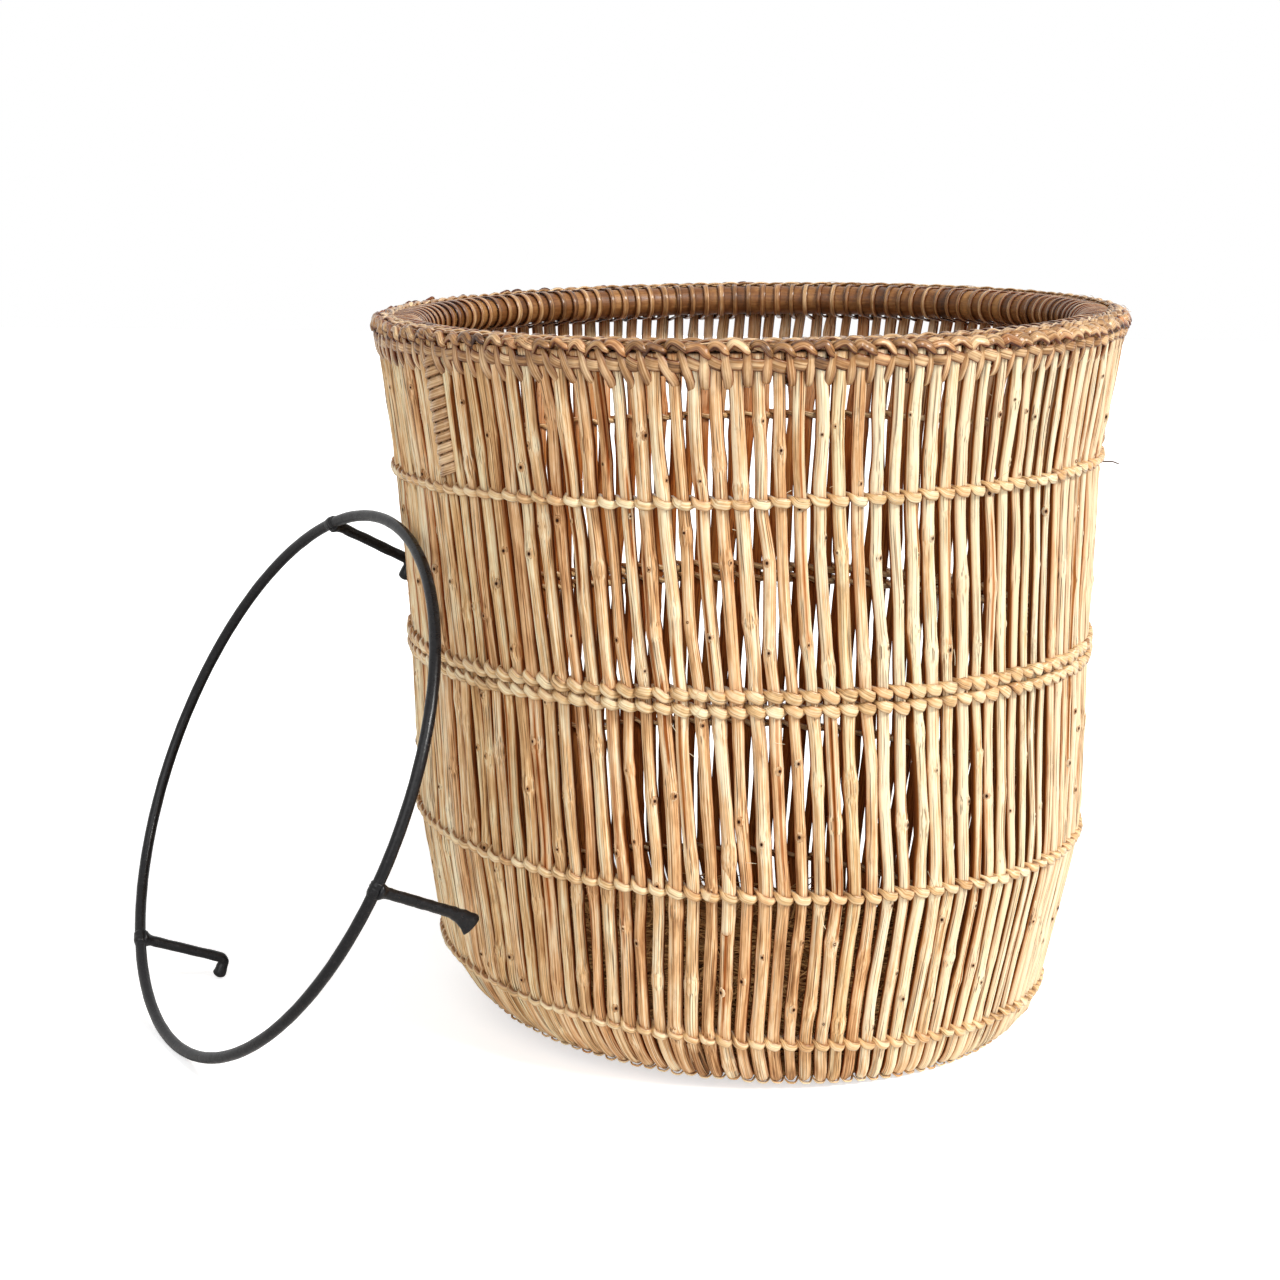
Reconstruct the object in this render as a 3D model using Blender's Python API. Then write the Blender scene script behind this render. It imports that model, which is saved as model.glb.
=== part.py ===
"""A woven fish trap: an open wall of peeled sticks held by twined rows, with a rolled
rim, a coiled base and a loose iron ring stand that leans on it. Metres, +Z up. The
origin is on the floor, under the centre of the base. The front of the trap faces -Y."""

import math
from collections import namedtuple

import bmesh
import bpy
from mathutils import Matrix, Vector

# Fits
GAP = 0.0003
MERGE = 0.00001
LEVEL_TRIES = 6

# Wall sticks
STICK_DIAMETER = 0.0084
STICK_GAP_WIDTH = 0.0011
PANELS = 16
LEAN_TOP_BAY = math.radians(2.5)
LEAN_MIDDLE_BAYS = math.radians(3.3)

# Heights of the bays between the rows, from the floor up
FOOT_BAY = 0.042
LOW_BAY = 0.102
MIDDLE_BAY = 0.124
TOP_BAY = 0.0955
STICK_LIFT = 0.0125

# Outer radius of the stick wall at each row
ROW_1_RADIUS = 0.2419
ROW_3_RADIUS = 0.2340
ROW_4_RADIUS = 0.2155
FOOT_RADIUS = 0.2003

# Hand-made levels: each ring sits a little to one side
RIM_SHIFT = -0.0018
ROW_1_SHIFT = -0.0021
ROW_3_SHIFT = 0.0033
ROW_4_SHIFT = -0.0005
FOOT_SHIFT = 0.0045

# How steeply each ring climbs along X, and the rim along Y
RIM_CLIMB = 0.019
ROW_1_CLIMB = 0.031
ROW_3_CLIMB = -0.025
ROW_4_CLIMB = -0.066
FOOT_CLIMB = -0.050
RIM_RISE = 0.010

# Twined rows of split cane
STRAND_THICKNESS = 0.0028
STRAND_HEIGHT = 0.0064
STRAND_GAP = 0.0007
ROW_2_SPACING = 0.0090
EDGE_STRAND_HEIGHT = 0.0165
EDGE_STRAND_SIZE = 0.0024
RING_STEPS = 48

# Rim: border on top, binding round the stick tops, bark-wrapped hoop inside
RIM_RADIUS = 0.260
BORDER_WIDTH = 0.017
BORDER_HEIGHT = 0.011
BORDER_OVERHANG = 0.0015
BINDING_HEIGHT = 0.020
BINDING_THICKNESS = 0.0130
BINDING_STEPS = 4
STICK_TUCK = 0.004
HOOP_DIAMETER = 0.022
HOOP_DROP = 0.002

# Coiled base: flat in the middle, with an edge that follows the foot of the sticks
BASE_FLAT_RADIUS = 0.150
BASE_EDGE_HEIGHT = 0.011
BASE_EDGE_WIDTH = 0.014
BASE_FLOOR = 0.008
BASE_CROWN = 0.003

# Iron stand
ROD_DIAMETER = 0.008
STAND_RADIUS = 0.1907
LEG_LENGTH = 0.067
LEG_LEAN = math.radians(3.6)
FOOT_LENGTH = 0.0148
FOOT_BEND = 0.004
FOOT_FLARE = 1.25
WELD_DIAMETER = 0.0125
WELD_LENGTH = 0.006
STAND_HEADING = math.radians(32.3)
STAND_ROLL = math.radians(-52.3)
STAND_SIDE = 0.0838

# What follows from the sizes above
STICK_RADIUS = STICK_DIAMETER / 2
ROD_RADIUS = ROD_DIAMETER / 2
ROW_4_HEIGHT = FOOT_BAY
ROW_3_HEIGHT = ROW_4_HEIGHT + LOW_BAY
ROW_2_HEIGHT = ROW_3_HEIGHT + MIDDLE_BAY
ROW_1_HEIGHT = ROW_2_HEIGHT + MIDDLE_BAY
RIM_HEIGHT = ROW_1_HEIGHT + TOP_BAY
BINDING_TOP = RIM_HEIGHT - BORDER_HEIGHT / 2 - GAP
STICK_TOP = BINDING_TOP - STICK_TUCK
WALL_TOP_RADIUS = RIM_RADIUS - BORDER_WIDTH / 2 - BORDER_OVERHANG
PANEL_STICKS = int(
    math.tau * (FOOT_RADIUS - STICK_RADIUS) / PANELS / (STICK_DIAMETER + STICK_GAP_WIDTH)
)
STICK_STEP = math.tau / (PANELS * PANEL_STICKS)

Level = namedtuple("Level", "height radius shift climb rise turn")


def wall_levels():
    """The middle of the stick layer, from the top down, with the turn that the lean adds."""
    turn_1 = math.tan(LEAN_TOP_BAY) * TOP_BAY / ROW_1_RADIUS
    turn_3 = turn_1 + math.tan(LEAN_MIDDLE_BAYS) * 2 * MIDDLE_BAY / ROW_3_RADIUS
    return (
        Level(STICK_TOP, WALL_TOP_RADIUS, RIM_SHIFT, RIM_CLIMB, RIM_RISE, 0.0),
        Level(ROW_1_HEIGHT, ROW_1_RADIUS - STICK_RADIUS, ROW_1_SHIFT, ROW_1_CLIMB, 0.0, turn_1),
        Level(ROW_3_HEIGHT, ROW_3_RADIUS - STICK_RADIUS, ROW_3_SHIFT, ROW_3_CLIMB, 0.0, turn_3),
        Level(ROW_4_HEIGHT, ROW_4_RADIUS - STICK_RADIUS, ROW_4_SHIFT, ROW_4_CLIMB, 0.0, turn_3),
        Level(STICK_LIFT, FOOT_RADIUS - STICK_RADIUS, FOOT_SHIFT, FOOT_CLIMB, 0.0, turn_3),
    )


LEVELS = wall_levels()


def level_at(height):
    """The wall's level at any height, between or beyond the named ones."""
    index = 0
    while index < len(LEVELS) - 2 and height < LEVELS[index + 1].height:
        index += 1
    upper, lower = LEVELS[index], LEVELS[index + 1]
    share = (upper.height - height) / (upper.height - lower.height)
    return Level(*(a + (b - a) * share for a, b in zip(upper, lower)))


def on_level(level, angle, outward=0.0):
    """The point of a level at an angle from the front, moved outward from the stick layer."""
    radius = level.radius + outward
    x, y = level.shift + radius * math.sin(angle), -radius * math.cos(angle)
    return Vector((x, y, level.height + level.climb * x + level.rise * y))


def level_through(place):
    """The level that passes through a place, with its climb and rise taken off."""
    height = place.z
    for _ in range(LEVEL_TRIES):
        level = level_at(height)
        height = place.z - level.climb * place.x - level.rise * place.y
    return level_at(height)


def wall_slope(height, angle):
    """How far the wall leans outward at a height and an angle from the front."""
    reach = STRAND_HEIGHT / 2
    upper, lower = level_at(height + reach), level_at(height - reach)
    rise = on_level(upper, angle).z - on_level(lower, angle).z
    return math.atan2(upper.radius - lower.radius, rise)


def clear_scene():
    for item in list(bpy.data.objects):
        bpy.data.objects.remove(item, do_unlink=True)


def new_collection(name):
    collection = bpy.data.collections.new(name)
    bpy.context.scene.collection.children.link(collection)
    return collection


def new_material(name, colour, roughness, metallic=0.0):
    material = bpy.data.materials.new(name)
    material.use_nodes = True
    shader = material.node_tree.nodes["Principled BSDF"]
    shader.inputs["Base Color"].default_value = (*colour, 1.0)
    shader.inputs["Roughness"].default_value = roughness
    shader.inputs["Metallic"].default_value = metallic
    return material


clear_scene()
TRAP = new_collection("fish_trap")
GUIDES = new_collection("guides")

STICK_WOOD = new_material("peeled_stick", (0.66, 0.45, 0.24), 0.55)
CANE = new_material("split_cane", (0.72, 0.54, 0.32), 0.40)
BORDER_CANE = new_material("border_cane", (0.55, 0.36, 0.18), 0.45)
BARK = new_material("bark_wrap", (0.35, 0.21, 0.11), 0.60)
GRASS = new_material("base_grass", (0.42, 0.29, 0.15), 0.80)
IRON = new_material("black_iron", (0.025, 0.025, 0.028), 0.35, 0.6)


def add_object(name, data, material=None, parent=None):
    item = bpy.data.objects.new(name, data)
    TRAP.objects.link(item)
    if material:
        data.materials.append(material)
    item.parent = parent
    return item


def make_guide(item):
    """Keeps a cutter or a section out of the model."""
    for collection in list(item.users_collection):
        collection.objects.unlink(item)
    GUIDES.objects.link(item)
    item.hide_render = True
    item.display_type = "WIRE"
    return item


def add_boolean(item, tool, operation):
    modifier = item.modifiers.new(operation.lower(), "BOOLEAN")
    modifier.operation = operation
    modifier.solver = "EXACT"
    modifier.object = tool


def new_curve(name, paths, cyclic=False, radii=None):
    """A curve with one straight-sided spline through each list of points."""
    curve = bpy.data.curves.new(name, "CURVE")
    curve.dimensions = "3D"
    for path in paths:
        spline = curve.splines.new("POLY")
        spline.points.add(len(path) - 1)
        for index, point in enumerate(path):
            spline.points[index].co = (*point, 1.0)
            spline.points[index].radius = radii[index] if radii else 1.0
        spline.use_cyclic_u = cyclic
    curve.use_fill_caps = not cyclic
    return curve


def curve_to_mesh(item):
    """Swaps a curve object for the same shape as a welded mesh."""
    bpy.context.view_layer.update()
    evaluated = item.evaluated_get(bpy.context.evaluated_depsgraph_get())
    mesh = bpy.data.meshes.new_from_object(evaluated)
    bm = bmesh.new()
    bm.from_mesh(mesh)
    bmesh.ops.remove_doubles(bm, verts=bm.verts, dist=MERGE)
    bm.to_mesh(mesh)
    bm.free()
    name, matrix, parent = item.name, item.matrix_world.copy(), item.parent
    bpy.data.objects.remove(item, do_unlink=True)
    solid = add_object(name, mesh, parent=parent)
    solid.matrix_world = matrix
    return solid


def ring_section(name, corners):
    """A closed outline, across and up, that a ring is swept from."""
    curve = new_curve(name, [[(across, up, 0.0) for across, up in corners]], cyclic=True)
    curve.dimensions = "2D"
    return make_guide(add_object(name, curve))


def box_section(name, width, height):
    across, up = width / 2, height / 2
    return ring_section(name, [(across, -up), (-across, -up), (-across, up), (across, up)])


def roll_section(name, width, height):
    """A six-sided roll, with corners at its inner and outer side."""
    half, quarter, up = width / 2, width / 4, height / 2
    corners = [(half, 0), (quarter, -up), (-quarter, -up), (-half, 0), (-quarter, up), (quarter, up)]
    return ring_section(name, corners)


def ring_angles():
    return [math.tau * step / RING_STEPS for step in range(RING_STEPS)]


def add_ring(name, path, material, section):
    """A closed ring through the points of a path, with an upright section."""
    curve = new_curve(name, [path], cyclic=True)
    curve.twist_mode = "Z_UP"
    curve.bevel_mode = "OBJECT"
    curve.bevel_object = section
    return add_object(name, curve, material)


def add_strand(name, height, outward, section):
    """A strand that lies on the slope of the wall, outward from the middle of the sticks."""
    level = level_at(height)
    path, slopes = [], []
    for angle in ring_angles():
        slope = wall_slope(height, angle)
        normal = Vector((math.sin(angle), -math.cos(angle), -math.tan(slope))).normalized()
        path.append(on_level(level, angle) + normal * outward)
        slopes.append(slope)
    strand = add_ring(name, path, CANE, section)
    for point, slope in zip(strand.data.splines[0].points, slopes):
        point.tilt = slope
    return strand


def chord_sag(radius, steps=RING_STEPS):
    """How far the middle of a ring's straight side lies inside its corners."""
    return radius * (1 - math.cos(math.pi / steps))


def add_binding(name, middle):
    """The length of rim binding that a panel's stick tops are laced into."""
    bottom = BINDING_TOP - BINDING_HEIGHT
    half = BINDING_THICKNESS / 2
    low, high = level_at(bottom).radius, level_at(BINDING_TOP).radius
    corners = [(low - half, bottom), (low + half, bottom), (high + half, BINDING_TOP), (high - half, BINDING_TOP)]
    sweep = math.tau / PANELS - GAP / low
    start = middle - sweep / 2
    bm = bmesh.new()
    verts = [bm.verts.new((r * math.sin(start), -r * math.cos(start), z)) for r, z in corners]
    face = bm.faces.new(verts)
    bmesh.ops.spin(
        bm, geom=[face], axis=(0, 0, 1), cent=(0, 0, 0), angle=sweep, steps=BINDING_STEPS
    )
    for vert in bm.verts:
        vert.co.x += RIM_SHIFT
        vert.co.z += RIM_CLIMB * vert.co.x + RIM_RISE * vert.co.y
    bmesh.ops.recalc_face_normals(bm, faces=bm.faces)
    mesh = bpy.data.meshes.new(name)
    bm.to_mesh(mesh)
    bm.free()
    return make_guide(add_object(name, mesh))


def add_panel(number):
    """A run of wall sticks, joined at their tops by its length of rim binding."""
    middle = math.tau * number / PANELS
    first = middle - STICK_STEP * (PANEL_STICKS - 1) / 2
    paths = [
        [on_level(level, first + STICK_STEP * index + level.turn) for level in LEVELS]
        for index in range(PANEL_STICKS)
    ]
    name = f"wall_sticks_{number + 1:02d}"
    curve = new_curve(name, paths)
    curve.bevel_depth = STICK_RADIUS
    curve.bevel_resolution = 1
    panel = curve_to_mesh(add_object(name, curve, STICK_WOOD))
    add_boolean(panel, add_binding(f"{name}_binding", middle), "UNION")
    return panel


def add_twined_row(name, height, section):
    """The outer and the inner strand of one twined row, either side of the sticks."""
    reach = STICK_RADIUS + STRAND_GAP + STRAND_THICKNESS / 2
    add_strand(f"{name}_outer_strand", height, reach + chord_sag(level_at(height).radius + reach), section)
    add_strand(f"{name}_inner_strand", height, -reach, section)


def add_rows():
    section = box_section("strand_section", STRAND_THICKNESS, STRAND_HEIGHT)
    add_twined_row("row_1", ROW_1_HEIGHT, section)
    add_twined_row("row_2_upper", ROW_2_HEIGHT + ROW_2_SPACING / 2, section)
    add_twined_row("row_2_lower", ROW_2_HEIGHT - ROW_2_SPACING / 2, section)
    add_twined_row("row_3", ROW_3_HEIGHT, section)
    add_twined_row("row_4", ROW_4_HEIGHT, section)
    reach = STICK_RADIUS + STRAND_GAP + EDGE_STRAND_SIZE / 2
    edge_section = box_section("edge_section", EDGE_STRAND_SIZE, EDGE_STRAND_SIZE)
    add_strand("edge_strand", EDGE_STRAND_HEIGHT, reach + chord_sag(FOOT_RADIUS + reach), edge_section)


def add_rim():
    """The plaited border on top and the wrapped hoop that lies inside the stick tops."""
    border = Level(RIM_HEIGHT, RIM_RADIUS - BORDER_WIDTH / 2, RIM_SHIFT, RIM_CLIMB, RIM_RISE, 0.0)
    path = [on_level(border, angle) for angle in ring_angles()]
    add_ring("rim_border", path, BORDER_CANE, roll_section("border_section", BORDER_WIDTH, BORDER_HEIGHT))
    hoop_height = BINDING_TOP - HOOP_DROP
    inner_face = level_at(hoop_height).radius - BINDING_THICKNESS / 2
    seat = inner_face - chord_sag(inner_face, PANELS * BINDING_STEPS) - GAP
    hoop = Level(hoop_height, seat - HOOP_DIAMETER / 2, RIM_SHIFT, RIM_CLIMB, RIM_RISE, 0.0)
    path = [on_level(hoop, angle) for angle in ring_angles()]
    add_ring("rim_hoop", path, BARK, roll_section("hoop_section", HOOP_DIAMETER, HOOP_DIAMETER))


def add_base():
    """A coiled mat, flat in the middle, with an edge that follows the foot of the sticks."""
    rim = level_at(STICK_LIFT).radius - STICK_RADIUS - GAP
    profile = [
        (0.0, BASE_FLOOR + BASE_CROWN),
        (BASE_FLAT_RADIUS, BASE_FLOOR),
        (rim - BASE_EDGE_WIDTH, BASE_EDGE_HEIGHT),
        (rim, BASE_EDGE_HEIGHT * 0.6),
        (rim, 0.0),
        (BASE_FLAT_RADIUS, 0.0),
        (0.0, 0.0),
    ]
    bm = bmesh.new()
    verts = [bm.verts.new((r, 0.0, z)) for r, z in profile]
    edges = [bm.edges.new(pair) for pair in zip(verts, verts[1:])]
    bmesh.ops.spin(
        bm, geom=verts + edges, axis=(0, 0, 1), cent=(0, 0, 0), angle=math.tau, steps=RING_STEPS
    )
    bmesh.ops.remove_doubles(bm, verts=bm.verts, dist=MERGE)
    for vert in bm.verts:
        radius = math.hypot(vert.co.x, vert.co.y)
        share = max(0.0, (radius - BASE_FLAT_RADIUS) / (rim - BASE_FLAT_RADIUS))
        vert.co.x += FOOT_SHIFT * share
        vert.co.z += FOOT_CLIMB * (vert.co.x - FOOT_SHIFT - rim) * share
    bmesh.ops.recalc_face_normals(bm, faces=bm.faces)
    mesh = bpy.data.meshes.new("base")
    bm.to_mesh(mesh)
    bm.free()
    return add_object("base", mesh, GRASS)


def bisect(test, low, high):
    """The value where a rising test crosses zero."""
    for _ in range(60):
        middle = (low + high) / 2
        low, high = (middle, high) if test(middle) < 0 else (low, middle)
    return (low + high) / 2


def leg_angle(number):
    return STAND_ROLL - math.tau * number / 3


def leg_radii():
    """The rod's radius at each point of a leg's path: thick at the weld, hammered out at the foot."""
    weld, foot = WELD_DIAMETER / 2, ROD_RADIUS * FOOT_FLARE
    return [weld, weld, ROD_RADIUS, ROD_RADIUS, (ROD_RADIUS + foot) / 2, foot]


def leg_path(number):
    """A leg and its bent foot, in the stand's frame: X across, Y up the ring, Z along the legs."""
    angle = leg_angle(number)
    outward = Vector((math.cos(angle), math.sin(angle), 0.0))
    base = outward * STAND_RADIUS
    along = Vector((0, 0, math.cos(LEG_LEAN))) - outward * math.sin(LEG_LEAN)
    down = Vector((0, -1, 0))
    end = base + along * LEG_LENGTH
    return [
        base,
        base + along * (ROD_RADIUS + WELD_LENGTH * 0.4),
        base + along * (ROD_RADIUS + WELD_LENGTH),
        end - along * FOOT_BEND,
        end + down * FOOT_BEND,
        end + down * FOOT_LENGTH,
    ]


def ring_path():
    steps = [-math.pi / 2 + math.tau * step / RING_STEPS for step in range(RING_STEPS)]
    return [Vector((STAND_RADIUS * math.cos(a), STAND_RADIUS * math.sin(a), 0.0)) for a in steps]


def stand_matrix(lean, away):
    """The stand's place: its ring stands on the floor and leans back by an angle."""
    ahead = Vector((math.cos(STAND_HEADING), math.sin(STAND_HEADING), 0.0))
    across = Vector((-ahead.y, ahead.x, 0.0))
    along = ahead * math.cos(lean) - Vector((0, 0, math.sin(lean)))
    up_ring = along.cross(across)
    centre = across * STAND_SIDE - ahead * away
    centre.z = ROD_RADIUS + STAND_RADIUS * up_ring.z
    turn = Matrix((across, up_ring, along)).transposed().to_4x4()
    return Matrix.Translation(centre) @ turn


def foot_height(lean):
    """Height of the lowest point of the first foot, for a lean of the stand."""
    matrix = stand_matrix(lean, 0.0)
    sole = ROD_RADIUS * FOOT_FLARE * math.sqrt(1 - (matrix.col[1].z) ** 2)
    return (matrix @ leg_path(0)[-1]).z - sole


def wall_clearance(matrix):
    """The least gap between the stand's rods and the sticks and rows of the wall."""
    least = math.inf
    ring = ring_path()
    halfway = [(a + b) / 2 for a, b in zip(ring, ring[1:] + ring[:1])]
    samples = [(point, ROD_RADIUS) for point in ring + halfway]
    for number in range(3):
        stations = list(zip(leg_path(number), leg_radii()))
        samples += stations
        samples += [((a + b) / 2, (r + s) / 2) for (a, r), (b, s) in zip(stations, stations[1:])]
    rows = (ROW_1_HEIGHT, ROW_2_HEIGHT, ROW_3_HEIGHT, ROW_4_HEIGHT)
    band = (ROW_2_SPACING + STRAND_HEIGHT) / 2 + ROD_RADIUS
    for point, thick in samples:
        place = matrix @ point
        level = level_through(place)
        reach = level.radius + STICK_RADIUS
        if min(abs(level.height - row) for row in rows) < band:
            reach += STRAND_GAP + STRAND_THICKNESS
        least = min(least, math.hypot(place.x - level.shift, place.y) - reach - thick)
    return least


def add_stand():
    """The iron ring on three legs, stood on its edge and one foot, and leant on the wall."""
    lean = bisect(lambda angle: -foot_height(angle), 0.0, math.radians(60))
    away = bisect(lambda far: wall_clearance(stand_matrix(lean, far)) - GAP, RIM_RADIUS / 2, RIM_RADIUS * 3)
    joint = bpy.data.objects.new("stand_joint", None)
    TRAP.objects.link(joint)
    joint.matrix_world = stand_matrix(lean, away)
    bpy.context.view_layer.update()

    ring = new_curve("stand_ring", [ring_path()], cyclic=True)
    ring.bevel_depth = ROD_RADIUS
    ring.bevel_resolution = 1
    add_object("stand_ring", ring, IRON, joint)

    saddle = new_curve("saddle_cutter", [ring_path()], cyclic=True)
    saddle.bevel_depth = ROD_RADIUS + GAP
    saddle.bevel_resolution = 1
    saddle_item = make_guide(curve_to_mesh(add_object("saddle_cutter", saddle, parent=joint)))

    for number in range(3):
        name = f"stand_leg_{number + 1}"
        leg = new_curve(name, [leg_path(number)], radii=[r / ROD_RADIUS for r in leg_radii()])
        leg.bevel_depth = ROD_RADIUS
        leg.bevel_resolution = 2
        leg_item = curve_to_mesh(add_object(name, leg, IRON, joint))
        add_boolean(leg_item, saddle_item, "DIFFERENCE")


for panel_number in range(PANELS):
    add_panel(panel_number)
add_rows()
add_rim()
add_base()
add_stand()
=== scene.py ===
"""The looks of the fish trap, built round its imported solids: peeled sticks, twined rows of
split cane, a plaited rim on a bark-wrapped hoop, a coiled base with dry grass on it, and
black paint on the iron stand. Metres, +Z up, the front faces -Y."""

import math

import bpy
import numpy as np
from mathutils import Matrix


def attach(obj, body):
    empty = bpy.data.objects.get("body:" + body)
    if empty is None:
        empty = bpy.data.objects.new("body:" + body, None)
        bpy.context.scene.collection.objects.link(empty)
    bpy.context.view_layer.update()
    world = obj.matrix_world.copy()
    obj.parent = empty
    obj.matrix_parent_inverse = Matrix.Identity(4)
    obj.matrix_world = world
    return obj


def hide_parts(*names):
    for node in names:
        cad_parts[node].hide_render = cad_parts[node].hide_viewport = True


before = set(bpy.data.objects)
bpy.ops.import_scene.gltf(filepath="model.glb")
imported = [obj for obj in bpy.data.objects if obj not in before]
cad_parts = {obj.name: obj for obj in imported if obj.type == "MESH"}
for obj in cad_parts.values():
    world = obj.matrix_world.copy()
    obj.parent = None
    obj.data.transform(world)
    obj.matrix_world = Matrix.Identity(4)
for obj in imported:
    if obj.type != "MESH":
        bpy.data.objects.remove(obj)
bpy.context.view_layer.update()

CHANCE = np.random.default_rng(12)

# The wall, at the sizes of the solids

STICKS = 128
PANELS = 16
STICK_STEP = math.tau / STICKS
FIRST_STICK = -3.5 * STICK_STEP
STICK_RADIUS = 0.0042
STICK_FOOT = 0.0072
STICK_TOP = 0.4860
RIM_HEIGHT = 0.4875
ROW_1_HEIGHT = 0.392
ROW_2_HEIGHT = 0.268
ROW_3_HEIGHT = 0.144
ROW_4_HEIGHT = 0.042
ROW_2_SPACING = 0.0090
ROW_1_RADIUS = 0.2419
ROW_3_RADIUS = 0.2340
LEAN_TOP_BAY = math.radians(2.5)
LEAN_MIDDLE_BAYS = math.radians(3.3)
TURN_ROW_1 = math.tan(LEAN_TOP_BAY) * (RIM_HEIGHT - ROW_1_HEIGHT) / ROW_1_RADIUS
TURN_MIDDLE = math.tan(LEAN_MIDDLE_BAYS) * (ROW_1_HEIGHT - ROW_3_HEIGHT) / ROW_3_RADIUS
TURN_ROW_3 = TURN_ROW_1 + TURN_MIDDLE
FOOT_SHIFT = 0.0045
FOOT_CLIMB = -0.050
RIM_SHIFT = -0.0018
RIM_CLIMB = 0.019
RIM_RISE = 0.010

# Height, radius of the middle of the sticks, sideways shift, climb along X and along Y, turn
WALL_LEVELS = (
    (0.0125, 0.1961, FOOT_SHIFT, FOOT_CLIMB, 0.0, TURN_ROW_3),
    (ROW_4_HEIGHT, 0.2113, -0.0005, -0.066, 0.0, TURN_ROW_3),
    (ROW_3_HEIGHT, 0.2298, 0.0033, -0.025, 0.0, TURN_ROW_3),
    (ROW_2_HEIGHT, 0.2318, 0.0016, 0.003, 0.0, (TURN_ROW_1 + TURN_ROW_3) / 2),
    (ROW_1_HEIGHT, 0.2377, -0.0021, 0.031, 0.0, TURN_ROW_1),
    (0.4777, 0.2500, RIM_SHIFT, RIM_CLIMB, RIM_RISE, 0.0),
)
WALL_STEP = 0.001
WALL_EASE = 0.009


def eased(values, reach):
    """Values along a line with their corners rounded over a reach, both in samples."""
    span = int(3 * reach) + 1
    weight = np.exp(-0.5 * (np.arange(-span, span + 1) / reach) ** 2)
    weight /= weight.sum()
    head = 2 * values[0] - values[span:0:-1]
    tail = 2 * values[-1] - values[-2 : -span - 2 : -1]
    return np.convolve(np.concatenate([head, values, tail]), weight, "valid")


def wall_columns():
    """The wall's columns of numbers at even heights, with its corners rounded."""
    named = np.array(WALL_LEVELS)
    heights = np.arange(named[0, 0], named[-1, 0], WALL_STEP)
    columns = [np.interp(heights, named[:, 0], named[:, c]) for c in range(1, named.shape[1])]
    return heights, [eased(column, WALL_EASE / WALL_STEP) for column in columns]


WALL_HEIGHTS, WALL_COLUMNS = wall_columns()


def unit(vectors):
    return vectors / np.linalg.norm(vectors, axis=-1, keepdims=True)


def dots(a, b):
    return (a * b).sum(-1, keepdims=True)


def triple(x, y, z):
    """Three numbers, or runs of numbers, side by side."""
    return np.stack(np.broadcast_arrays(x, y, z), -1).astype(float)


def per_point(values):
    """Numbers along a path, ready to multiply its vectors."""
    return np.asarray(values, float)[..., None]


def bell(value, middle, width):
    """1 at the middle, and softly down to 0 on both sides."""
    return np.exp(-(((value - middle) / width) ** 2))


def step_up(value, low, high):
    """Rises softly from 0 to 1 between two values."""
    share = np.clip((value - low) / (high - low), 0, 1)
    return share * share * (3 - 2 * share)


def turns(count):
    """Even angles, once round."""
    return np.arange(count) * math.tau / count


def bearing_of(angle):
    """An angle from the front, between half a turn left and half a turn right."""
    return (angle + math.pi) % math.tau - math.pi


def uneven_ring(count, size, bends):
    """A closed run of random bends."""
    drawn = CHANCE.normal(0, size, bends + 1)
    drawn[-1] = drawn[0]
    return np.interp(np.arange(count) / count * bends, np.arange(bends + 1), drawn)


def beyond(height, column):
    """A wall column at any height, carried on evenly past the top and the foot."""
    foot, top = WALL_HEIGHTS[0], WALL_HEIGHTS[-1]
    low = column[0] + (height - foot) * (column[1] - column[0]) / WALL_STEP
    high = column[-1] + (height - top) * (column[-1] - column[-2]) / WALL_STEP
    inner = np.interp(height, WALL_HEIGHTS, column)
    return np.where(height < foot, low, np.where(height > top, high, inner))


def wall(height, angle):
    """The middle of the stick layer: its point, and its directions sideways, up and out."""
    height, angle = np.broadcast_arrays(np.asarray(height, float), np.asarray(angle, float))
    radius, shift, climb, rise, _ = (beyond(height, column) for column in WALL_COLUMNS)
    above = beyond(height + WALL_STEP, WALL_COLUMNS[0])
    sine, cosine = np.sin(angle), np.cos(angle)
    x, y = shift + radius * sine, -radius * cosine
    lean = (above - radius) / WALL_STEP
    side = unit(triple(cosine, sine, climb * cosine + rise * sine))
    up = unit(triple(lean * sine, -lean * cosine, 1.0))
    return triple(x, y, height + climb * x + rise * y), side, up, unit(np.cross(side, up))


def turn_at(height):
    """How far round the trap a stick has leant at a height."""
    return beyond(np.asarray(height, float), WALL_COLUMNS[-1])


def stick_place(height, angle):
    """The wall along the stick that ends at an angle at the rim."""
    return wall(height, angle + turn_at(height))


def moved(place, across=0.0, rise=0.0, away=0.0):
    """A place's point, moved along its own directions sideways, up and out."""
    point, side, up, out = place
    return point + side * per_point(across) + up * per_point(rise) + out * per_point(away)



# Outlines and meshes

RIBS = 4
CHUNK = 0.14
MAP_MARGIN = 0.0016
MAP_NAME = "OFBake"
MAP_SLACK = 1.04
MAP_SPARE = 1.02


def circle(count, across, up):
    """An oval outline of a number of points, wide across and high up, anticlockwise."""
    return np.stack([np.cos(turns(count)) * across / 2, np.sin(turns(count)) * up / 2], -1)


def splint(count, width, thickness, fullness=0.7):
    """The outline of a split cane: flat, with soft edges."""
    even = circle(count, 2, 2)
    return np.sign(even) * np.abs(even) ** fullness * (width / 2, thickness / 2)


def strap(count, wide, thick, fullness=0.7):
    """A split cane's outline at each point of a path, each with its own size."""
    sizes = np.stack(np.broadcast_arrays(wide, thick), -1)
    return splint(count, 1.0, 1.0, fullness) * sizes[:, None]


def ribbed(count, depth):
    """Factors that raise ribs on the faces of an outline."""
    return np.stack([np.ones(count), 1 + depth * np.cos(turns(count) * RIBS)], -1)


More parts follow.
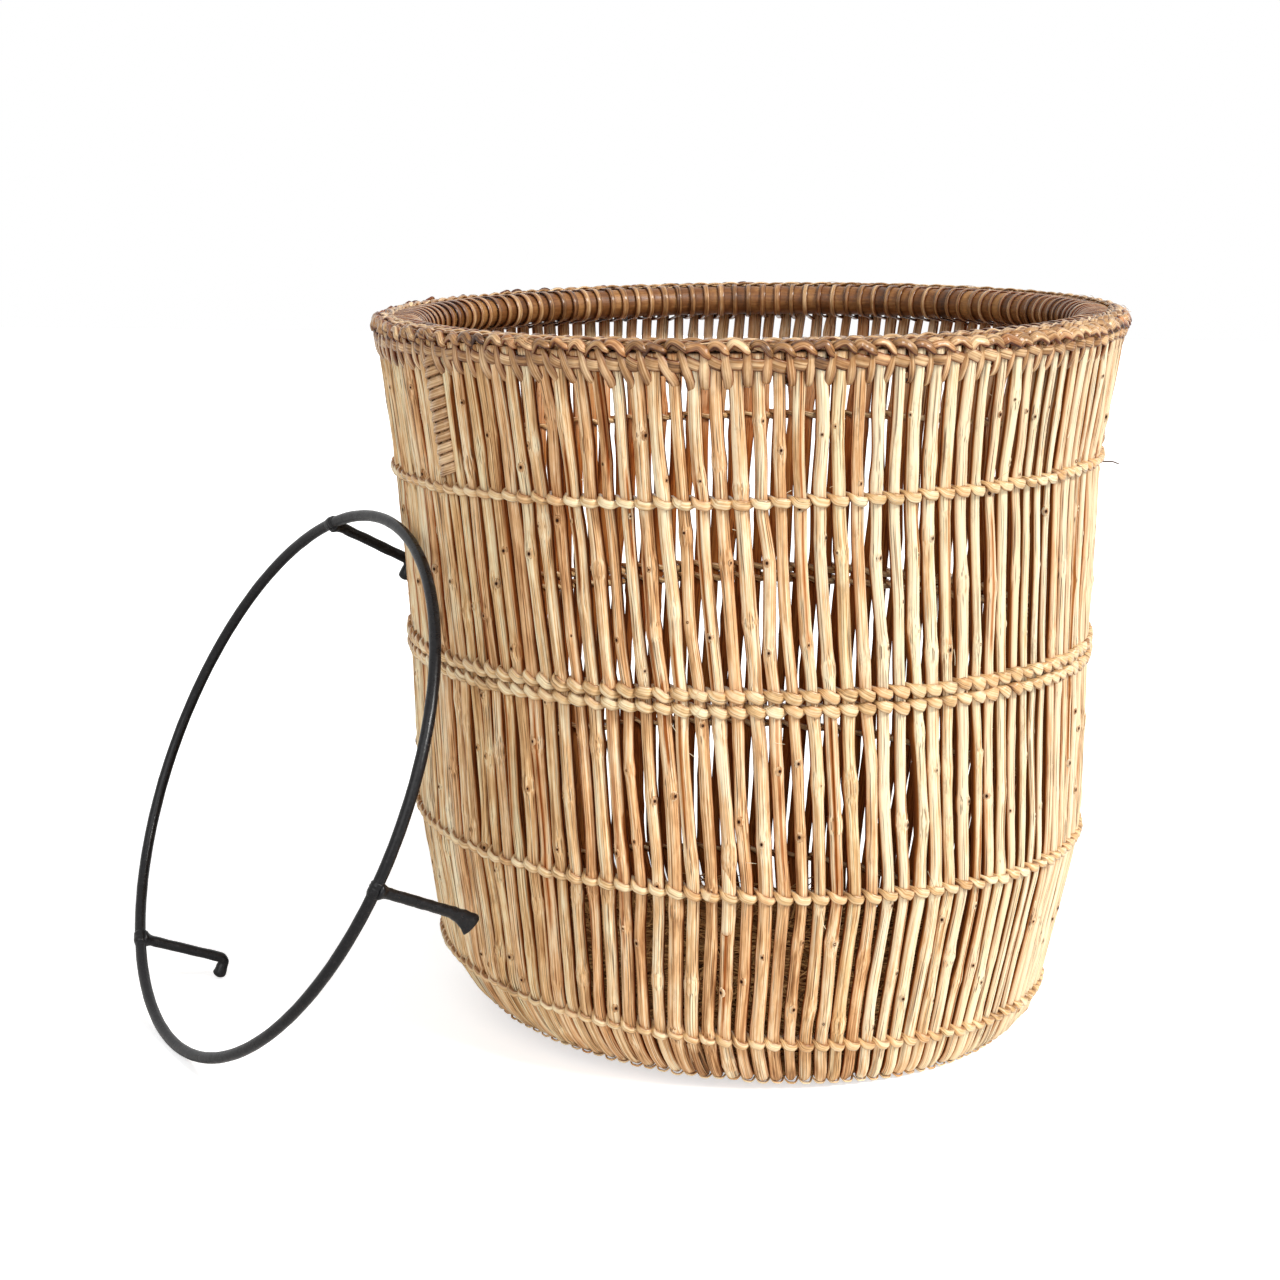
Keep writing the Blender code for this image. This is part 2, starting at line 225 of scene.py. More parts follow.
def tapered(outline, taper, t):
    """An outline at each point of a path, smaller toward its end."""
    return outline * (1 - taper * t)[:, None, None]


def shaded_edges(count, depth):
    """Marks that paint shade along the two edges of a splint's outline."""
    return -depth * np.abs(np.cos(turns(count))) ** 5


def floats(values):
    return values.astype(np.float32).ravel()


def new_item(name, data):
    """A new object, linked to the scene."""
    item = bpy.data.objects.new(name, data)
    bpy.context.scene.collection.objects.link(item)
    return item

class Piece:
    """Gathers swept strips into one mesh that knows where each point lay along its strip."""

    def __init__(self, name, material, body="basket"):
        self.name, self.material, self.body = name, material, body
        self.strips = []

    def add(self, points, grain, tone, mark, along, girth, closed=False):
        """Keeps one strip: rings of points, with their grain, tone and mark."""
        strip = dict(points=points, along=along, girth=girth, closed=closed)
        strip["grain"] = grain + CHANCE.uniform(-5, 5, 3)
        strip["tones"] = np.broadcast_to(np.asarray(tone, float), (len(points), 3))
        strip["marks"] = np.broadcast_to(np.asarray(mark, float), points.shape[:2])
        self.strips.append(strip)

    def sweep(self, path, normal, section, tone=(0.5, 0.5, 0.5), closed=False, mark=0.0):
        """A strip along a path. A section is points across and along the normal."""
        count = len(path)
        if closed:
            tangent = unit(np.roll(path, -1, 0) - np.roll(path, 1, 0))
        else:
            tangent = unit(np.gradient(path, axis=0))
        normal = unit(normal - dots(normal, tangent) * tangent)
        across = np.cross(normal, tangent)
        section = np.broadcast_to(section, (count, *np.shape(section)[-2:]))
        points = path[:, None] + across[:, None] * section[..., :1]
        points = points + normal[:, None] * section[..., 1:]
        steps = np.linalg.norm(np.diff(path, axis=0, append=path[:1]), axis=1)
        along = np.concatenate([[0.0], np.cumsum(steps)])
        length = np.broadcast_to(along[:count, None, None], (*section.shape[:2], 1))
        girth = np.linalg.norm(np.roll(section, -1, 1) - section, axis=-1).sum(1).max()
        grain = np.concatenate([section, length], -1)
        self.add(points, grain, tone, mark, along, girth, closed)

    def build(self, *replaced):
        """Makes the mesh, and lets it stand for the solids that it replaces."""
        points, grain, tones, marks, loops, sizes, places = columns = [[] for _ in range(7)]
        base = 0
        for strip, (chunk, corner, first) in zip(self.strips, lay_out(self.strips)):
            rings, around = strip["points"].shape[:2]
            points.append(strip["points"].reshape(-1, 3))
            grain.append(strip["grain"].reshape(-1, 3))
            tones.append(np.repeat(strip["tones"], around, 0))
            marks.append(strip["marks"].reshape(-1))
            spans = rings if strip["closed"] else rings - 1
            i, j = np.meshgrid(np.arange(spans), np.arange(around), indexing="ij")
            corner_i = np.stack([i, i, i + 1, i + 1], -1)
            corner_j = np.stack([j, j + 1, j + 1, j], -1)
            index = base + (corner_i % rings) * around + corner_j % around
            loops.append(index.reshape(-1))
            sizes.append(np.full(spans * around, 4))
            start = strip["along"][first[chunk[i]]][..., None]
            u = corner[chunk[i], 0][..., None] + corner_j / around * strip["girth"]
            v = corner[chunk[i], 1][..., None] + strip["along"][corner_i] - start
            places.append(np.stack([u, v], -1).reshape(-1, 2))
            if not strip["closed"]:
                for ring, order, spot in ((0, -1, 0), (rings - 1, 1, -1)):
                    loops.append(base + ring * around + np.arange(around)[::order])
                    sizes.append(np.array([around]))
                    places.append(np.repeat(corner[spot][None], around, 0))
            base += rings * around
        return self.finish(*(np.concatenate(column) for column in columns), replaced)

    def finish(self, points, grain, tones, marks, loops, sizes, places, replaced):
        mesh = bpy.data.meshes.new(self.name)
        mesh.vertices.add(len(points))
        mesh.vertices.foreach_set("co", floats(points))
        mesh.loops.add(len(loops))
        mesh.loops.foreach_set("vertex_index", loops.astype(np.int32))
        mesh.polygons.add(len(sizes))
        starts = np.concatenate([[0], np.cumsum(sizes)[:-1]])
        mesh.polygons.foreach_set("loop_start", starts.astype(np.int32))
        mesh.update(calc_edges=True)
        for name, values in (("grain", grain), ("tone", tones)):
            attribute = mesh.attributes.new(name, "FLOAT_VECTOR", "POINT")
            attribute.data.foreach_set("vector", floats(values))
        # The mark carries knot eyes and broken ends, and painted shade on inner sides, strip edges and
        # hollows.
        mesh.attributes.new("mark", "FLOAT", "POINT").data.foreach_set("value", floats(marks))
        layer = mesh.uv_layers.new(name=MAP_NAME)
        places = (places - places.min(0)) / (places.max(0) - places.min(0))
        layer.uv.foreach_set("vector", floats(places))
        mesh.shade_smooth()
        mesh.materials.append(self.material)
        item = new_item(self.name, mesh)
        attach(item, self.body)
        if replaced:
            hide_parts(*replaced)
        return item


def lay_out(strips):
    """For each strip: the chunk of each step, and each chunk's corner on the map and first ring."""
    chunked = []
    for strip in strips:
        along = strip["along"]
        steps = len(strip["points"]) - (not strip["closed"])
        parts = max(1, math.ceil(along[steps] / CHUNK))
        chunk = np.minimum((along[:steps] / along[steps] * parts).astype(int), parts - 1)
        first = np.array([np.argmax(chunk >= part) for part in range(parts)])
        chunked.append((chunk, first, strip["girth"], along[steps] / parts * MAP_SLACK))
    area = 0.0
    for _, first, girth, tall in chunked:
        area += (girth + MAP_MARGIN) * (tall + MAP_MARGIN) * len(first)
    width = math.sqrt(area) * MAP_SPARE
    x = y = shelf = 0.0
    laid = []
    for chunk, first, girth, tall in chunked:
        corners = []
        for _ in first:
            if x + girth > width:
                x, y, shelf = 0.0, y + shelf + MAP_MARGIN, 0.0
            corners.append((x, y))
            x += girth + MAP_MARGIN
            shelf = max(shelf, tall)
        laid.append((chunk, np.array(corners), first))
    return laid


# Materials


def shade(colour):
    """A screen colour, 0 to 255, as the light that a shader takes."""
    share = np.array(colour) / 255
    return (*np.where(share <= 0.04045, share / 12.92, ((share + 0.055) / 1.055) ** 2.4), 1.0)


class Nodes:
    """Short calls that add nodes to a tree."""

    def __init__(self, tree):
        self.tree = tree

    def node(self, kind, inputs=(), **settings):
        made = self.tree.nodes.new(kind)
        for key, value in settings.items():
            setattr(made, key, value)
        for key, value in dict(inputs).items():
            self.set(made.inputs[key], value)
        return made

    def set(self, socket, value):
        if isinstance(value, bpy.types.NodeSocket):
            self.tree.links.new(value, socket)
        elif socket.type == "RGBA":
            socket.default_value = shade(value)
        else:
            socket.default_value = value

    def fit(self, value, low, high, to_low=0.0, to_high=1.0):
        ends = {"From Min": low, "From Max": high, "To Min": to_low, "To Max": to_high}
        return self.node("ShaderNodeMapRange", {"Value": value, **ends}).outputs[0]

    def math(self, operation, a, b=0.5, c=0.5):
        return self.node("ShaderNodeMath", {0: a, 1: b, 2: c}, operation=operation).outputs[0]

    def scaled(self, value, factor, more):
        """A value times a factor, and something more."""
        return self.math("MULTIPLY_ADD", value, factor, more)


class Shader(Nodes):
    """A material whose colour, roughness and bump are built from nodes."""

    def __init__(self, name):
        self.material = bpy.data.materials.new(name)
        self.material.use_nodes = True
        super().__init__(self.material.node_tree)
        self.surface = self.tree.nodes["Principled BSDF"].inputs

    def attribute(self, name, output="Vector"):
        return self.node("ShaderNodeAttribute", attribute_name=name).outputs[output]

    def tones(self):
        """The three tones of a strip: lightness, warmth and dirt."""
        parts = self.node("ShaderNodeSeparateXYZ", {0: self.attribute("tone")}).outputs
        return parts[0], parts[1], parts[2]

    def noise(self, where, scale, detail=2.0, roughness=0.5):
        """Noise with its own scale along each axis."""
        spread = self.node("ShaderNodeVectorMath", {0: where, 1: scale}, operation="MULTIPLY")
        inputs = {"Vector": spread.outputs[0], "Scale": 1.0}
        inputs.update({"Detail": detail, "Roughness": roughness})
        return self.node("ShaderNodeTexNoise", inputs).outputs["Fac"]

    def mix(self, share, a, b, blend="MIX"):
        made = self.node("ShaderNodeMix", data_type="RGBA", blend_type=blend)
        for index, value in ((0, share), (6, a), (7, b)):
            self.set(made.inputs[index], value)
        return made.outputs[2]

    def tint(self, colour, by):
        return self.mix(1.0, colour, by, "MULTIPLY")

    def ramp(self, value, *stops):
        made = self.node("ShaderNodeValToRGB", {"Fac": value})
        elements = made.color_ramp.elements
        while len(elements) < len(stops):
            elements.new(0.5)
        for element, (place, colour) in zip(elements, stops):
            element.position = place
            element.color = shade(colour)
        return made.outputs["Color"]

    def finish(self, colour, roughness, specular, height, distance, strength):
        """Sets the surface: its colour, its shine, and a height for its bump."""
        self.set(self.surface["Base Color"], colour)
        self.set(self.surface["Roughness"], roughness)
        self.surface["Specular IOR Level"].default_value = specular
        bump = {"Height": height, "Distance": distance, "Strength": strength}
        self.set(self.surface["Normal"], self.node("ShaderNodeBump", bump).outputs[0])
        return self.material


def stick_wood():
    """Peeled withy: cream to tan, with long fibres, brown streaks and dark knots, and painted shade on
    the inner sides, in the grooves and in the holes under the plait.
    """
    s = Shader("peeled_stick")
    grain = s.attribute("grain")
    light, warm, dirt = s.tones()
    fibre = s.noise(grain, (1250, 1250, 14), 3.0, 0.65)
    band = s.noise(grain, (380, 380, 5), 2.0)
    blotch = s.noise(grain, (110, 110, 30), 3.0, 0.6)
    level = s.scaled(fibre, 1.7, s.scaled(band, 0.65, -1.12))
    level = s.math("ADD", level, s.scaled(blotch, 1.1, -0.55))
    level = s.math("ADD", level, light)
    browns = (0.0, (118, 76, 40)), (0.26, (187, 139, 93))
    creams = (0.54, (234, 191, 141)), (0.88, (254, 239, 204))
    wood = s.ramp(level, *browns, *creams)
    pink = s.tint(wood, (246, 222, 206))
    olive = s.tint(wood, (240, 236, 212))
    wood = s.mix(s.fit(warm, 0.5, 1.0), wood, pink)
    wood = s.mix(s.fit(warm, 0.5, 0.0), wood, olive)
    streak = s.fit(s.noise(grain, (720, 720, 8), 2.0, 0.6), 0.57, 0.66)
    streak = s.math("MULTIPLY", streak, s.scaled(dirt, 0.30, 0.50))
    wood = s.mix(streak, wood, (146, 98, 56))
    crack = s.fit(s.noise(grain, (1500, 1500, 16), 1.0), 0.61, 0.69)
    wood = s.mix(s.math("MULTIPLY", crack, 0.8), wood, (94, 54, 27))
    stain = s.fit(s.noise(grain, (150, 150, 60), 4.0, 0.68), 0.56, 0.76)
    stain = s.math("MULTIPLY", stain, s.scaled(dirt, 0.55, 0.15))
    wood = s.mix(stain, wood, (136, 94, 62))
    # Below zero the mark paints shade on the inner sides and in the grooves; above zero it gives the knot
    # eyes and the broken foot their browns and paints the shadow in the holes under the plait.
    mark = s.attribute("mark", "Fac")
    deepest_shade = s.tint(wood, (98, 51, 20))
    wood = s.mix(s.fit(mark, 0.0, -0.55), wood, s.tint(wood, (202, 142, 90)))
    wood = s.mix(s.fit(mark, -0.35, -1.0), wood, deepest_shade)
    wood = s.mix(s.fit(mark, 0.05, 0.55, 0.0, 0.65), wood, (150, 96, 56))
    wood = s.mix(s.fit(mark, 0.55, 0.75), wood, (46, 24, 13))
    dull = s.fit(s.math("ABSOLUTE", mark), 0.2, 0.8, 0.0, 0.4)
    roughness = s.math("ADD", s.fit(fibre, 0.3, 0.7, 0.40, 0.60), dull)
    relief = s.scaled(fibre, 0.8, s.math("MULTIPLY", crack, -1.0))
    return s.finish(wood, roughness, 0.10, relief, 0.0006, 0.7)


def cane(name, dark, middle, pale, roughness):
    """Split cane: fine ribs along the strip, a soft shine, dark splits here and there, and painted shade
    along each strip's edges.
    """
    s = Shader(name)
    grain = s.attribute("grain")
    light, warm, dirt = s.tones()
    rib = s.noise(grain, (900, 500, 11), 3.0, 0.6)
    patch = s.noise(grain, (160, 160, 70), 3.0, 0.6)
    level = s.scaled(rib, 1.3, s.scaled(patch, 0.8, -1.05))
    level = s.math("ADD", level, light)
    colour = s.ramp(level, (0.08, dark), (0.5, middle), (0.92, pale))
    colour = s.mix(s.fit(warm, 0.5, 1.0), colour, s.tint(colour, (248, 216, 192)))
    split = s.fit(s.noise(grain, (1170, 700, 16), 1.0), 0.66, 0.74)
    colour = s.mix(s.math("MULTIPLY", split, s.scaled(dirt, 0.6, 0.2)), colour, dark)
    # Painted shade along the edges of each strip, from the mark.
    edge = s.fit(s.attribute("mark", "Fac"), 0.0, -1.0)
    colour = s.mix(edge, colour, s.tint(colour, (140, 84, 42)))
    s.surface["Coat Weight"].default_value = 0.35
    s.surface["Coat Roughness"].default_value = 0.22
    shine = s.fit(rib, 0.3, 0.7, *roughness)
    return s.finish(colour, shine, 0.20, s.math("SUBTRACT", rib, split), 0.0006, 0.7)


def bark():
    """Brown bark strip: fibres along the strip, darker flecks and a dull shine."""
    s = Shader("bark_wrap")
    grain = s.attribute("grain")
    fibre = s.noise(grain, (700, 700, 30), 3.0, 0.6)
    patch = s.noise(grain, (90, 90, 120), 3.0, 0.6)
    level = s.scaled(fibre, 0.5, s.scaled(patch, 0.7, -0.6))
    level = s.math("ADD", level, s.tones()[0])
    colour = s.ramp(level, (0.1, (60, 34, 16)), (0.5, (120, 74, 35)), (0.9, (178, 128, 75)))
    fleck = s.fit(s.noise(grain, (900, 900, 260), 3.0, 0.7), 0.62, 0.7)
    colour = s.mix(s.math("MULTIPLY", fleck, 0.6), colour, (50, 30, 20))
    return s.finish(colour, s.fit(fibre, 0.3, 0.7, 0.34, 0.55), 0.35, fibre, 0.0004, 0.6)


def dry_grass():
    """Dull brown grass with fine fibres."""
    s = Shader("base_grass")
    fibre = s.noise(s.attribute("grain"), (1300, 1300, 18), 3.0, 0.6)
    level = s.math("ADD", s.scaled(fibre, 0.6, -0.3), s.tones()[0])
    colour = s.ramp(level, (0.1, (74, 44, 22)), (0.5, (146, 98, 54)), (0.9, (208, 160, 102)))
    return s.finish(colour, 0.75, 0.10, fibre, 0.0004, 0.7)


def black_paint():
    """Black paint on hammered rod: a soft gloss, fine dust and small lumps."""
    s = Shader("black_iron")
    place = s.node("ShaderNodeTexCoord").outputs["Object"]
    lump = s.noise(place, (160, 160, 160), 3.0, 0.55)
    dust = s.noise(place, (420, 420, 420), 3.0, 0.7)
    colour = s.mix(s.fit(dust, 0.5, 0.8), (13, 12, 14), (38, 36, 38))
    return s.finish(colour, s.fit(lump, 0.3, 0.7, 0.24, 0.36), 0.26, lump, 0.0006, 0.35)


STICK_WOOD = stick_wood()
ROW_CANE = cane("row_cane", (98, 60, 30), (220, 179, 125), (253, 236, 196), (0.22, 0.38))
RIM_CANE = cane("rim_cane", (74, 42, 22), (169, 124, 77), (242, 207, 160), (0.20, 0.38))
LASH_CANE = cane("lash_cane", (80, 46, 24), (177, 131, 83), (244, 211, 166), (0.20, 0.36))
BARK = bark()
GRASS = dry_grass()
PAINT = black_paint()

# Sticks

ROW_HEIGHTS = np.array([ROW_1_HEIGHT, ROW_2_HEIGHT, ROW_3_HEIGHT, ROW_4_HEIGHT, STICK_TOP])
STICK_RINGS = 104
STICK_SIDES = 14
STICK_LOBES = ((2, 0.045), (3, 0.022), (5, 0.014))
KNOT_SPACING = (0.040, 0.11)
KNOT_SHARE = 0.70
KNOT_RINGS = 5
KNOT_SIDES = 10
KNOT_SINK = 0.00025
GROOVE_DEPTH = 0.13
COLLAR_TOP = 0.4814
SPLICED_STICK = 1
SPLICE_FOOT = 0.1175
SPLICE_TOP = 0.1700
SPLICE_RADIUS = 0.0037
BROKEN_STICK = 127
BROKEN_TOP = 0.0340
SPLINTERS = 9
STRAW_BITS = 110
FOOT_CURL = 0.018
FOOT_TUCK = 0.0050
FOOT_GAP = 0.0020
FOOT_REACH = 0.196
# Painted shade on the inner sides of the sticks: its strength at heights up the wall, deeper lower down.
INSIDE_HEIGHTS = (0.05, 0.18, 0.28, 0.36, 0.45)
INSIDE_PAINTED_SHADE = (0.72, 0.74, 0.70, 0.60, 0.15)


def foot_tuck(height):
    """How far the very ends of the sticks curl in under the trap."""
    return FOOT_TUCK * np.clip((FOOT_CURL + STICK_FOOT - height) / FOOT_CURL, 0, 1) ** 2


def foot_of(angle):
    """The height of a stick's foot on its own level: on the low side it stops at the floor."""
    return max(STICK_FOOT, FOOT_GAP - FOOT_CLIMB * (FOOT_SHIFT + FOOT_REACH * math.sin(angle)))


def knot_heights():
    """Heights of one stick's old twig joints."""
    heights, at = [], STICK_FOOT + CHANCE.uniform(0.01, 0.1)
    while at < STICK_TOP - 0.03:
        heights.append(at)
        at += CHANCE.uniform(*KNOT_SPACING)
    return np.array(heights)


# Lightness by bearing is partly the sticks' own tone and partly painted light: lighter on the right,
# darker left of the front.
TONE_BEARINGS = (-math.pi, -1.6, -1.15, -0.6, -0.3, 0.0, 0.35, 0.7, 1.1, 1.6, math.pi)
TONE_LIGHTS_AND_PAINTED_LIGHT = (0.58, 0.56, 0.58, 0.51, 0.51, 0.58, 0.76, 0.92, 0.90, 0.70, 0.58)
TONE_WARMTHS = (0.50, 0.40, 0.42, 0.46, 0.52, 0.56, 0.56, 0.56, 0.66, 0.80, 0.50)


def stick_tone(angle):
    """Sticks on the left are older and greener, those on the right paler; the lightness by bearing is
    partly the sticks' own and partly painted light, lighter on the lit right and darker left of the
    front.
    """
    bearing = bearing_of(angle)
    light = np.interp(bearing, TONE_BEARINGS, TONE_LIGHTS_AND_PAINTED_LIGHT) + CHANCE.normal(0, 0.075)
    warm = np.interp(bearing, TONE_BEARINGS, TONE_WARMTHS) + CHANCE.normal(0, 0.14)
    return light, np.clip(warm, 0, 1), CHANCE.uniform(0, 1) ** 2


def knot_mound(piece, place, size, tone):
    """A small raised eye with a dark middle, set into the face of a stick."""
    reach = per_point(np.linspace(1.0, 0.0, KNOT_RINGS))
    turn = turns(KNOT_SIDES)
    across = np.cos(turn) * reach * size
    along = np.sin(turn) * reach * size * 1.25
    height = 0.34 * size * (1 - reach**2) ** 1.5 - 0.22 * size * bell(reach, 0, 0.22)
    drop = across**2 / (2 * STICK_RADIUS)
    points = moved(place, across, along, height - drop - KNOT_SINK)
    steps = np.arange(KNOT_RINGS + 1) * size / KNOT_RINGS
    piece.add(points, triple(across, height, along), tone, 1 - reach, steps, size * 4)


def closing(angle):
    """How closely the plait sits on the collars: 0 at the front, with dark holes, 1 at the sides."""
    side = math.sin(angle)
    return float(np.clip(max(1.6 * side, -1.9 * side - 0.6), 0, 1))


def grooves(height, turn):
    """Long splits in the face of some sticks, as a depth from 0 to 1 at each point."""
    depth = np.zeros((len(height), len(turn)))
    for _ in range(CHANCE.integers(0, 3)):
        middle, half = CHANCE.uniform(0.05, 0.45), CHANCE.uniform(0.02, 0.12)
        column = int(CHANCE.integers(1, len(turn) // 2))
        open_share = np.clip(3 * (1 - np.abs(height - middle) / half), 0, 1)
        depth[:, column] = open_share * CHANCE.uniform(0.5, 1.0)
    return depth


def stick_path(height, place, knots):
    """A stick's own way: it bends at its knots, and not at all where a row holds it."""
    nearest = np.abs(height[:, None] - ROW_HEIGHTS).min(1)
    room = np.interp(height, [0.0, ROW_3_HEIGHT], [0.35, 1.0]) * (1 - bell(nearest, 0, 0.022))
    bends = np.concatenate([height[:1], knots, [STICK_TOP]])
    wander = np.interp(height, bends, CHANCE.normal(0, 0.0012, len(bends)))
    sway = np.interp(height, bends, CHANCE.normal(0, 0.0005, len(bends)))
    away = eased(sway, 1.5) * room - foot_tuck(height)
    return moved(place, eased(wander, 1.2) * room, 0.0, away)


def stick_thickness(height, angle, knots):
    """A stick's radius at each height, before its lobes and grooves."""
    thick = STICK_RADIUS * np.clip(CHANCE.normal(0.96, 0.09), 0.80, 1.13)
    thick = thick * (1 - 0.18 * bell(angle, 0.95, 0.24))
    thick = thick * (1 + CHANCE.uniform(-0.05, 0.05) * (height / RIM_HEIGHT - 0.5))
    swell = np.zeros(STICK_RINGS)
    for knot in knots:
        swell += CHANCE.uniform(0.04, 0.24) * bell(height, knot, CHANCE.uniform(0.004, 0.008))
    swell += eased(CHANCE.normal(0, 0.065, STICK_RINGS), 1.8)
    ends = np.clip((height - height[0]) / 0.0016, 0, 1)
    return thick * (1 + swell) * np.sqrt(1 - 0.45 * (1 - ends) ** 2)


def inner_side(turn, edge):
    """1 on the side of a stick that faces into the trap, 0 on its face: where painted shade goes."""
    return np.clip((edge - np.sin(turn)) * 2.1, 0, 1)


def stick_marks(height, angle, groove, number):
    """Painted shade on the sides that face into the trap and in the grooves, a painted dark hollow on the
    top under the plait, and the one broken foot.
    """
    turn = turns(STICK_SIDES)
    high = height[:, None]
    # Painted shade: inner sides darker with depth inside the trap, and the grooves darker too.
    inside_shade = np.interp(high, INSIDE_HEIGHTS, INSIDE_PAINTED_SHADE)
    shaded_side = inner_side(turn, 0.48 + 0.08 * math.sin(angle))
    dark = np.maximum(shaded_side * np.where(np.sin(turn) < 0, inside_shade, 1.0), 0.85 * groove)
    # Painted shadow on the stick tops in the holes under the plait, darkest at the front where the holes
    # stand open.
    mark = np.where(high > COLLAR_TOP, 0.8 - 0.45 * closing(angle), -dark)
    if number == BROKEN_STICK:
        mark = np.where(high < BROKEN_TOP, 0.46 + 0.3 * CHANCE.random(STICK_SIDES) ** 2, mark)
    return mark


def add_stick(piece, number):
    """One peeled stick, with its own thickness, wander, twig joints and tone."""
    angle = FIRST_STICK + number * STICK_STEP
    height = np.linspace(foot_of(angle + TURN_ROW_3), STICK_TOP, STICK_RINGS)
    place = stick_place(height, angle)
    _, side, up, out = place
    knots = knot_heights()
    path = stick_path(height, place, knots)
    thick = stick_thickness(height, angle, knots)
    turn = turns(STICK_SIDES)
    roll = CHANCE.uniform(0, math.tau, 3) + CHANCE.uniform(-4, 4, 3) * height[:, None]
    shape = 1
    for lobe, (count, depth) in enumerate(STICK_LOBES):
        shape = shape + depth * np.cos(count * turn + roll[:, [lobe]])
    groove = grooves(height, turn)
    radius = thick[:, None] * (shape - GROOVE_DEPTH * groove)
    wide = 1 + 0.16 * bell(angle, -1.15, 0.45)
    wide = wide * np.interp(height, [0.0, 0.05, 0.12], [1.0, 1.04, 1.0])[:, None]
    section = np.stack([np.cos(turn) * radius * wide, np.sin(turn) * radius], -1)
    tone = stick_tone(angle)
    tones = np.tile(tone, (STICK_RINGS, 1))
    # Painted shade: sticks at the front darker towards the foot.
    tones[:, 0] -= 0.13 * bell(angle, -0.15, 0.7) * (1 - step_up(height, 0.10, 0.30))
    piece.sweep(path, out, section, tones, mark=stick_marks(height, angle, groove, number))
    for knot in knots:
        if CHANCE.random() < KNOT_SHARE:
            at = int(np.argmin(np.abs(height - knot)))
            around = CHANCE.uniform(-0.9, 0.9)
            away = out[at] * math.cos(around) + side[at] * math.sin(around)
            across = side[at] * math.cos(around) - out[at] * math.sin(around)
            face = path[at] + away * radius[at].mean(), across, up[at], away
            knot_mound(piece, face, CHANCE.uniform(0.0014, 0.0030), tone)


def add_sticks():
    """All sticks, one piece for each panel of the solids."""
    per_panel = STICKS // PANELS
    for panel in range(PANELS):
        piece = Piece(f"peeled_sticks_{panel + 1:02d}", STICK_WOOD)
        for number in range(panel * per_panel, (panel + 1) * per_panel):
            add_stick(piece, number)
        piece.build(f"wall_sticks_{panel + 1:02d}")


def add_splice():
    """A stick that ends under a row, laid over the one that goes on below it."""
    piece = Piece("spliced_stick", STICK_WOOD)
    height = np.linspace(SPLICE_FOOT, SPLICE_TOP, 26)
    place = stick_place(height, FIRST_STICK + SPLICED_STICK * STICK_STEP)
    cover = 0.0019 - 0.0030 * step_up(height, ROW_3_HEIGHT, SPLICE_TOP)
    end = step_up(height, SPLICE_FOOT - 0.0001, SPLICE_FOOT + 0.0030)
    path = moved(place, -0.0010, 0.0, cover - 0.0012 * (1 - end))
    turn = turns(STICK_SIDES)
    radius = SPLICE_RADIUS * per_point(0.80 + 0.20 * end) * (1 + 0.04 * np.cos(2 * turn + 1.0))
    section = circle(STICK_SIDES, 2, 2) * radius[..., None]
    # Painted shade on the inner side and on the end that dips under the row.
    mark = -np.maximum(inner_side(turn, 0.48), per_point(1 - end))
    piece.sweep(path, place[3], section, (0.66, 0.5, 0.3), mark=mark)
    piece.build()


def add_splinters():
    """The frayed end of the one broken stick, and short straw bits caught between the sticks."""
    piece = Piece("splinters", STICK_WOOD)
    t = np.linspace(0, 1, 8)
    broken = FIRST_STICK + BROKEN_STICK * STICK_STEP
    for _ in range(SPLINTERS):
        top = BROKEN_TOP + CHANCE.normal(0, 0.004)
        height = top - (top - 0.0045) * CHANCE.uniform(0.6, 1.0) * t
        place = stick_place(height, broken + CHANCE.normal(0, 0.008))
        away = STICK_RADIUS * 0.85 + 0.0016 * t * CHANCE.uniform(-0.4, 1.0) - foot_tuck(height)
        path = moved(place, CHANCE.normal(0, 0.0014) * t, 0.0, away)
        thick = CHANCE.uniform(0.0007, 0.0014)
        section = tapered(circle(5, thick, thick), 0.7, t)
        tone = (CHANCE.uniform(0.3, 0.7), 0.5, 0.5)
        piece.sweep(path, place[3], section, tone, mark=CHANCE.uniform(0.0, 0.65))
    for _ in range(STRAW_BITS):
        angle = CHANCE.uniform(0, math.tau)
        height = CHANCE.choice(ROW_HEIGHTS[:4]) + CHANCE.normal(0, 0.016)
        place = wall(max(height, 0.016), angle)
        long, lean = CHANCE.uniform(0.004, 0.013) * t, CHANCE.uniform(0, math.tau)
        bow = CHANCE.normal(0, 0.0016) * np.sin(math.pi * t)
        away = CHANCE.uniform(-0.006, 0.0058) + CHANCE.uniform(-0.002, 0.003) * t
        path = moved(place, long * math.cos(lean) + bow, long * math.sin(lean), away)
        thick = CHANCE.uniform(0.0004, 0.0008)
        section = tapered(circle(5, thick, thick), 0.5, t)
        piece.sweep(path, place[3], section, (CHANCE.uniform(0.7, 1.1), 0.5, 0.1))
    piece.build()



# Twined rows

ROW_STEPS = 12
ROW_THICKNESS = 0.0029
ROW_TONE = 0.64
EDGE_HEIGHT = 0.0076

# Name, height, width of the strand, slant over a stick, drop of its tail
ROWS = (
    ("row_1", ROW_1_HEIGHT, 0.0064, 0.0008, 0.0014),
    ("row_2_upper", ROW_2_HEIGHT + ROW_2_SPACING / 2, 0.0078, 0.0015, 0.0004),
    ("row_2_lower", ROW_2_HEIGHT - ROW_2_SPACING / 2, 0.0076, 0.0014, 0.0004),
    ("row_3", ROW_3_HEIGHT, 0.0062, 0.0010, 0.0012),
    ("row_4", ROW_4_HEIGHT, 0.0056, 0.0009, 0.0009),
)


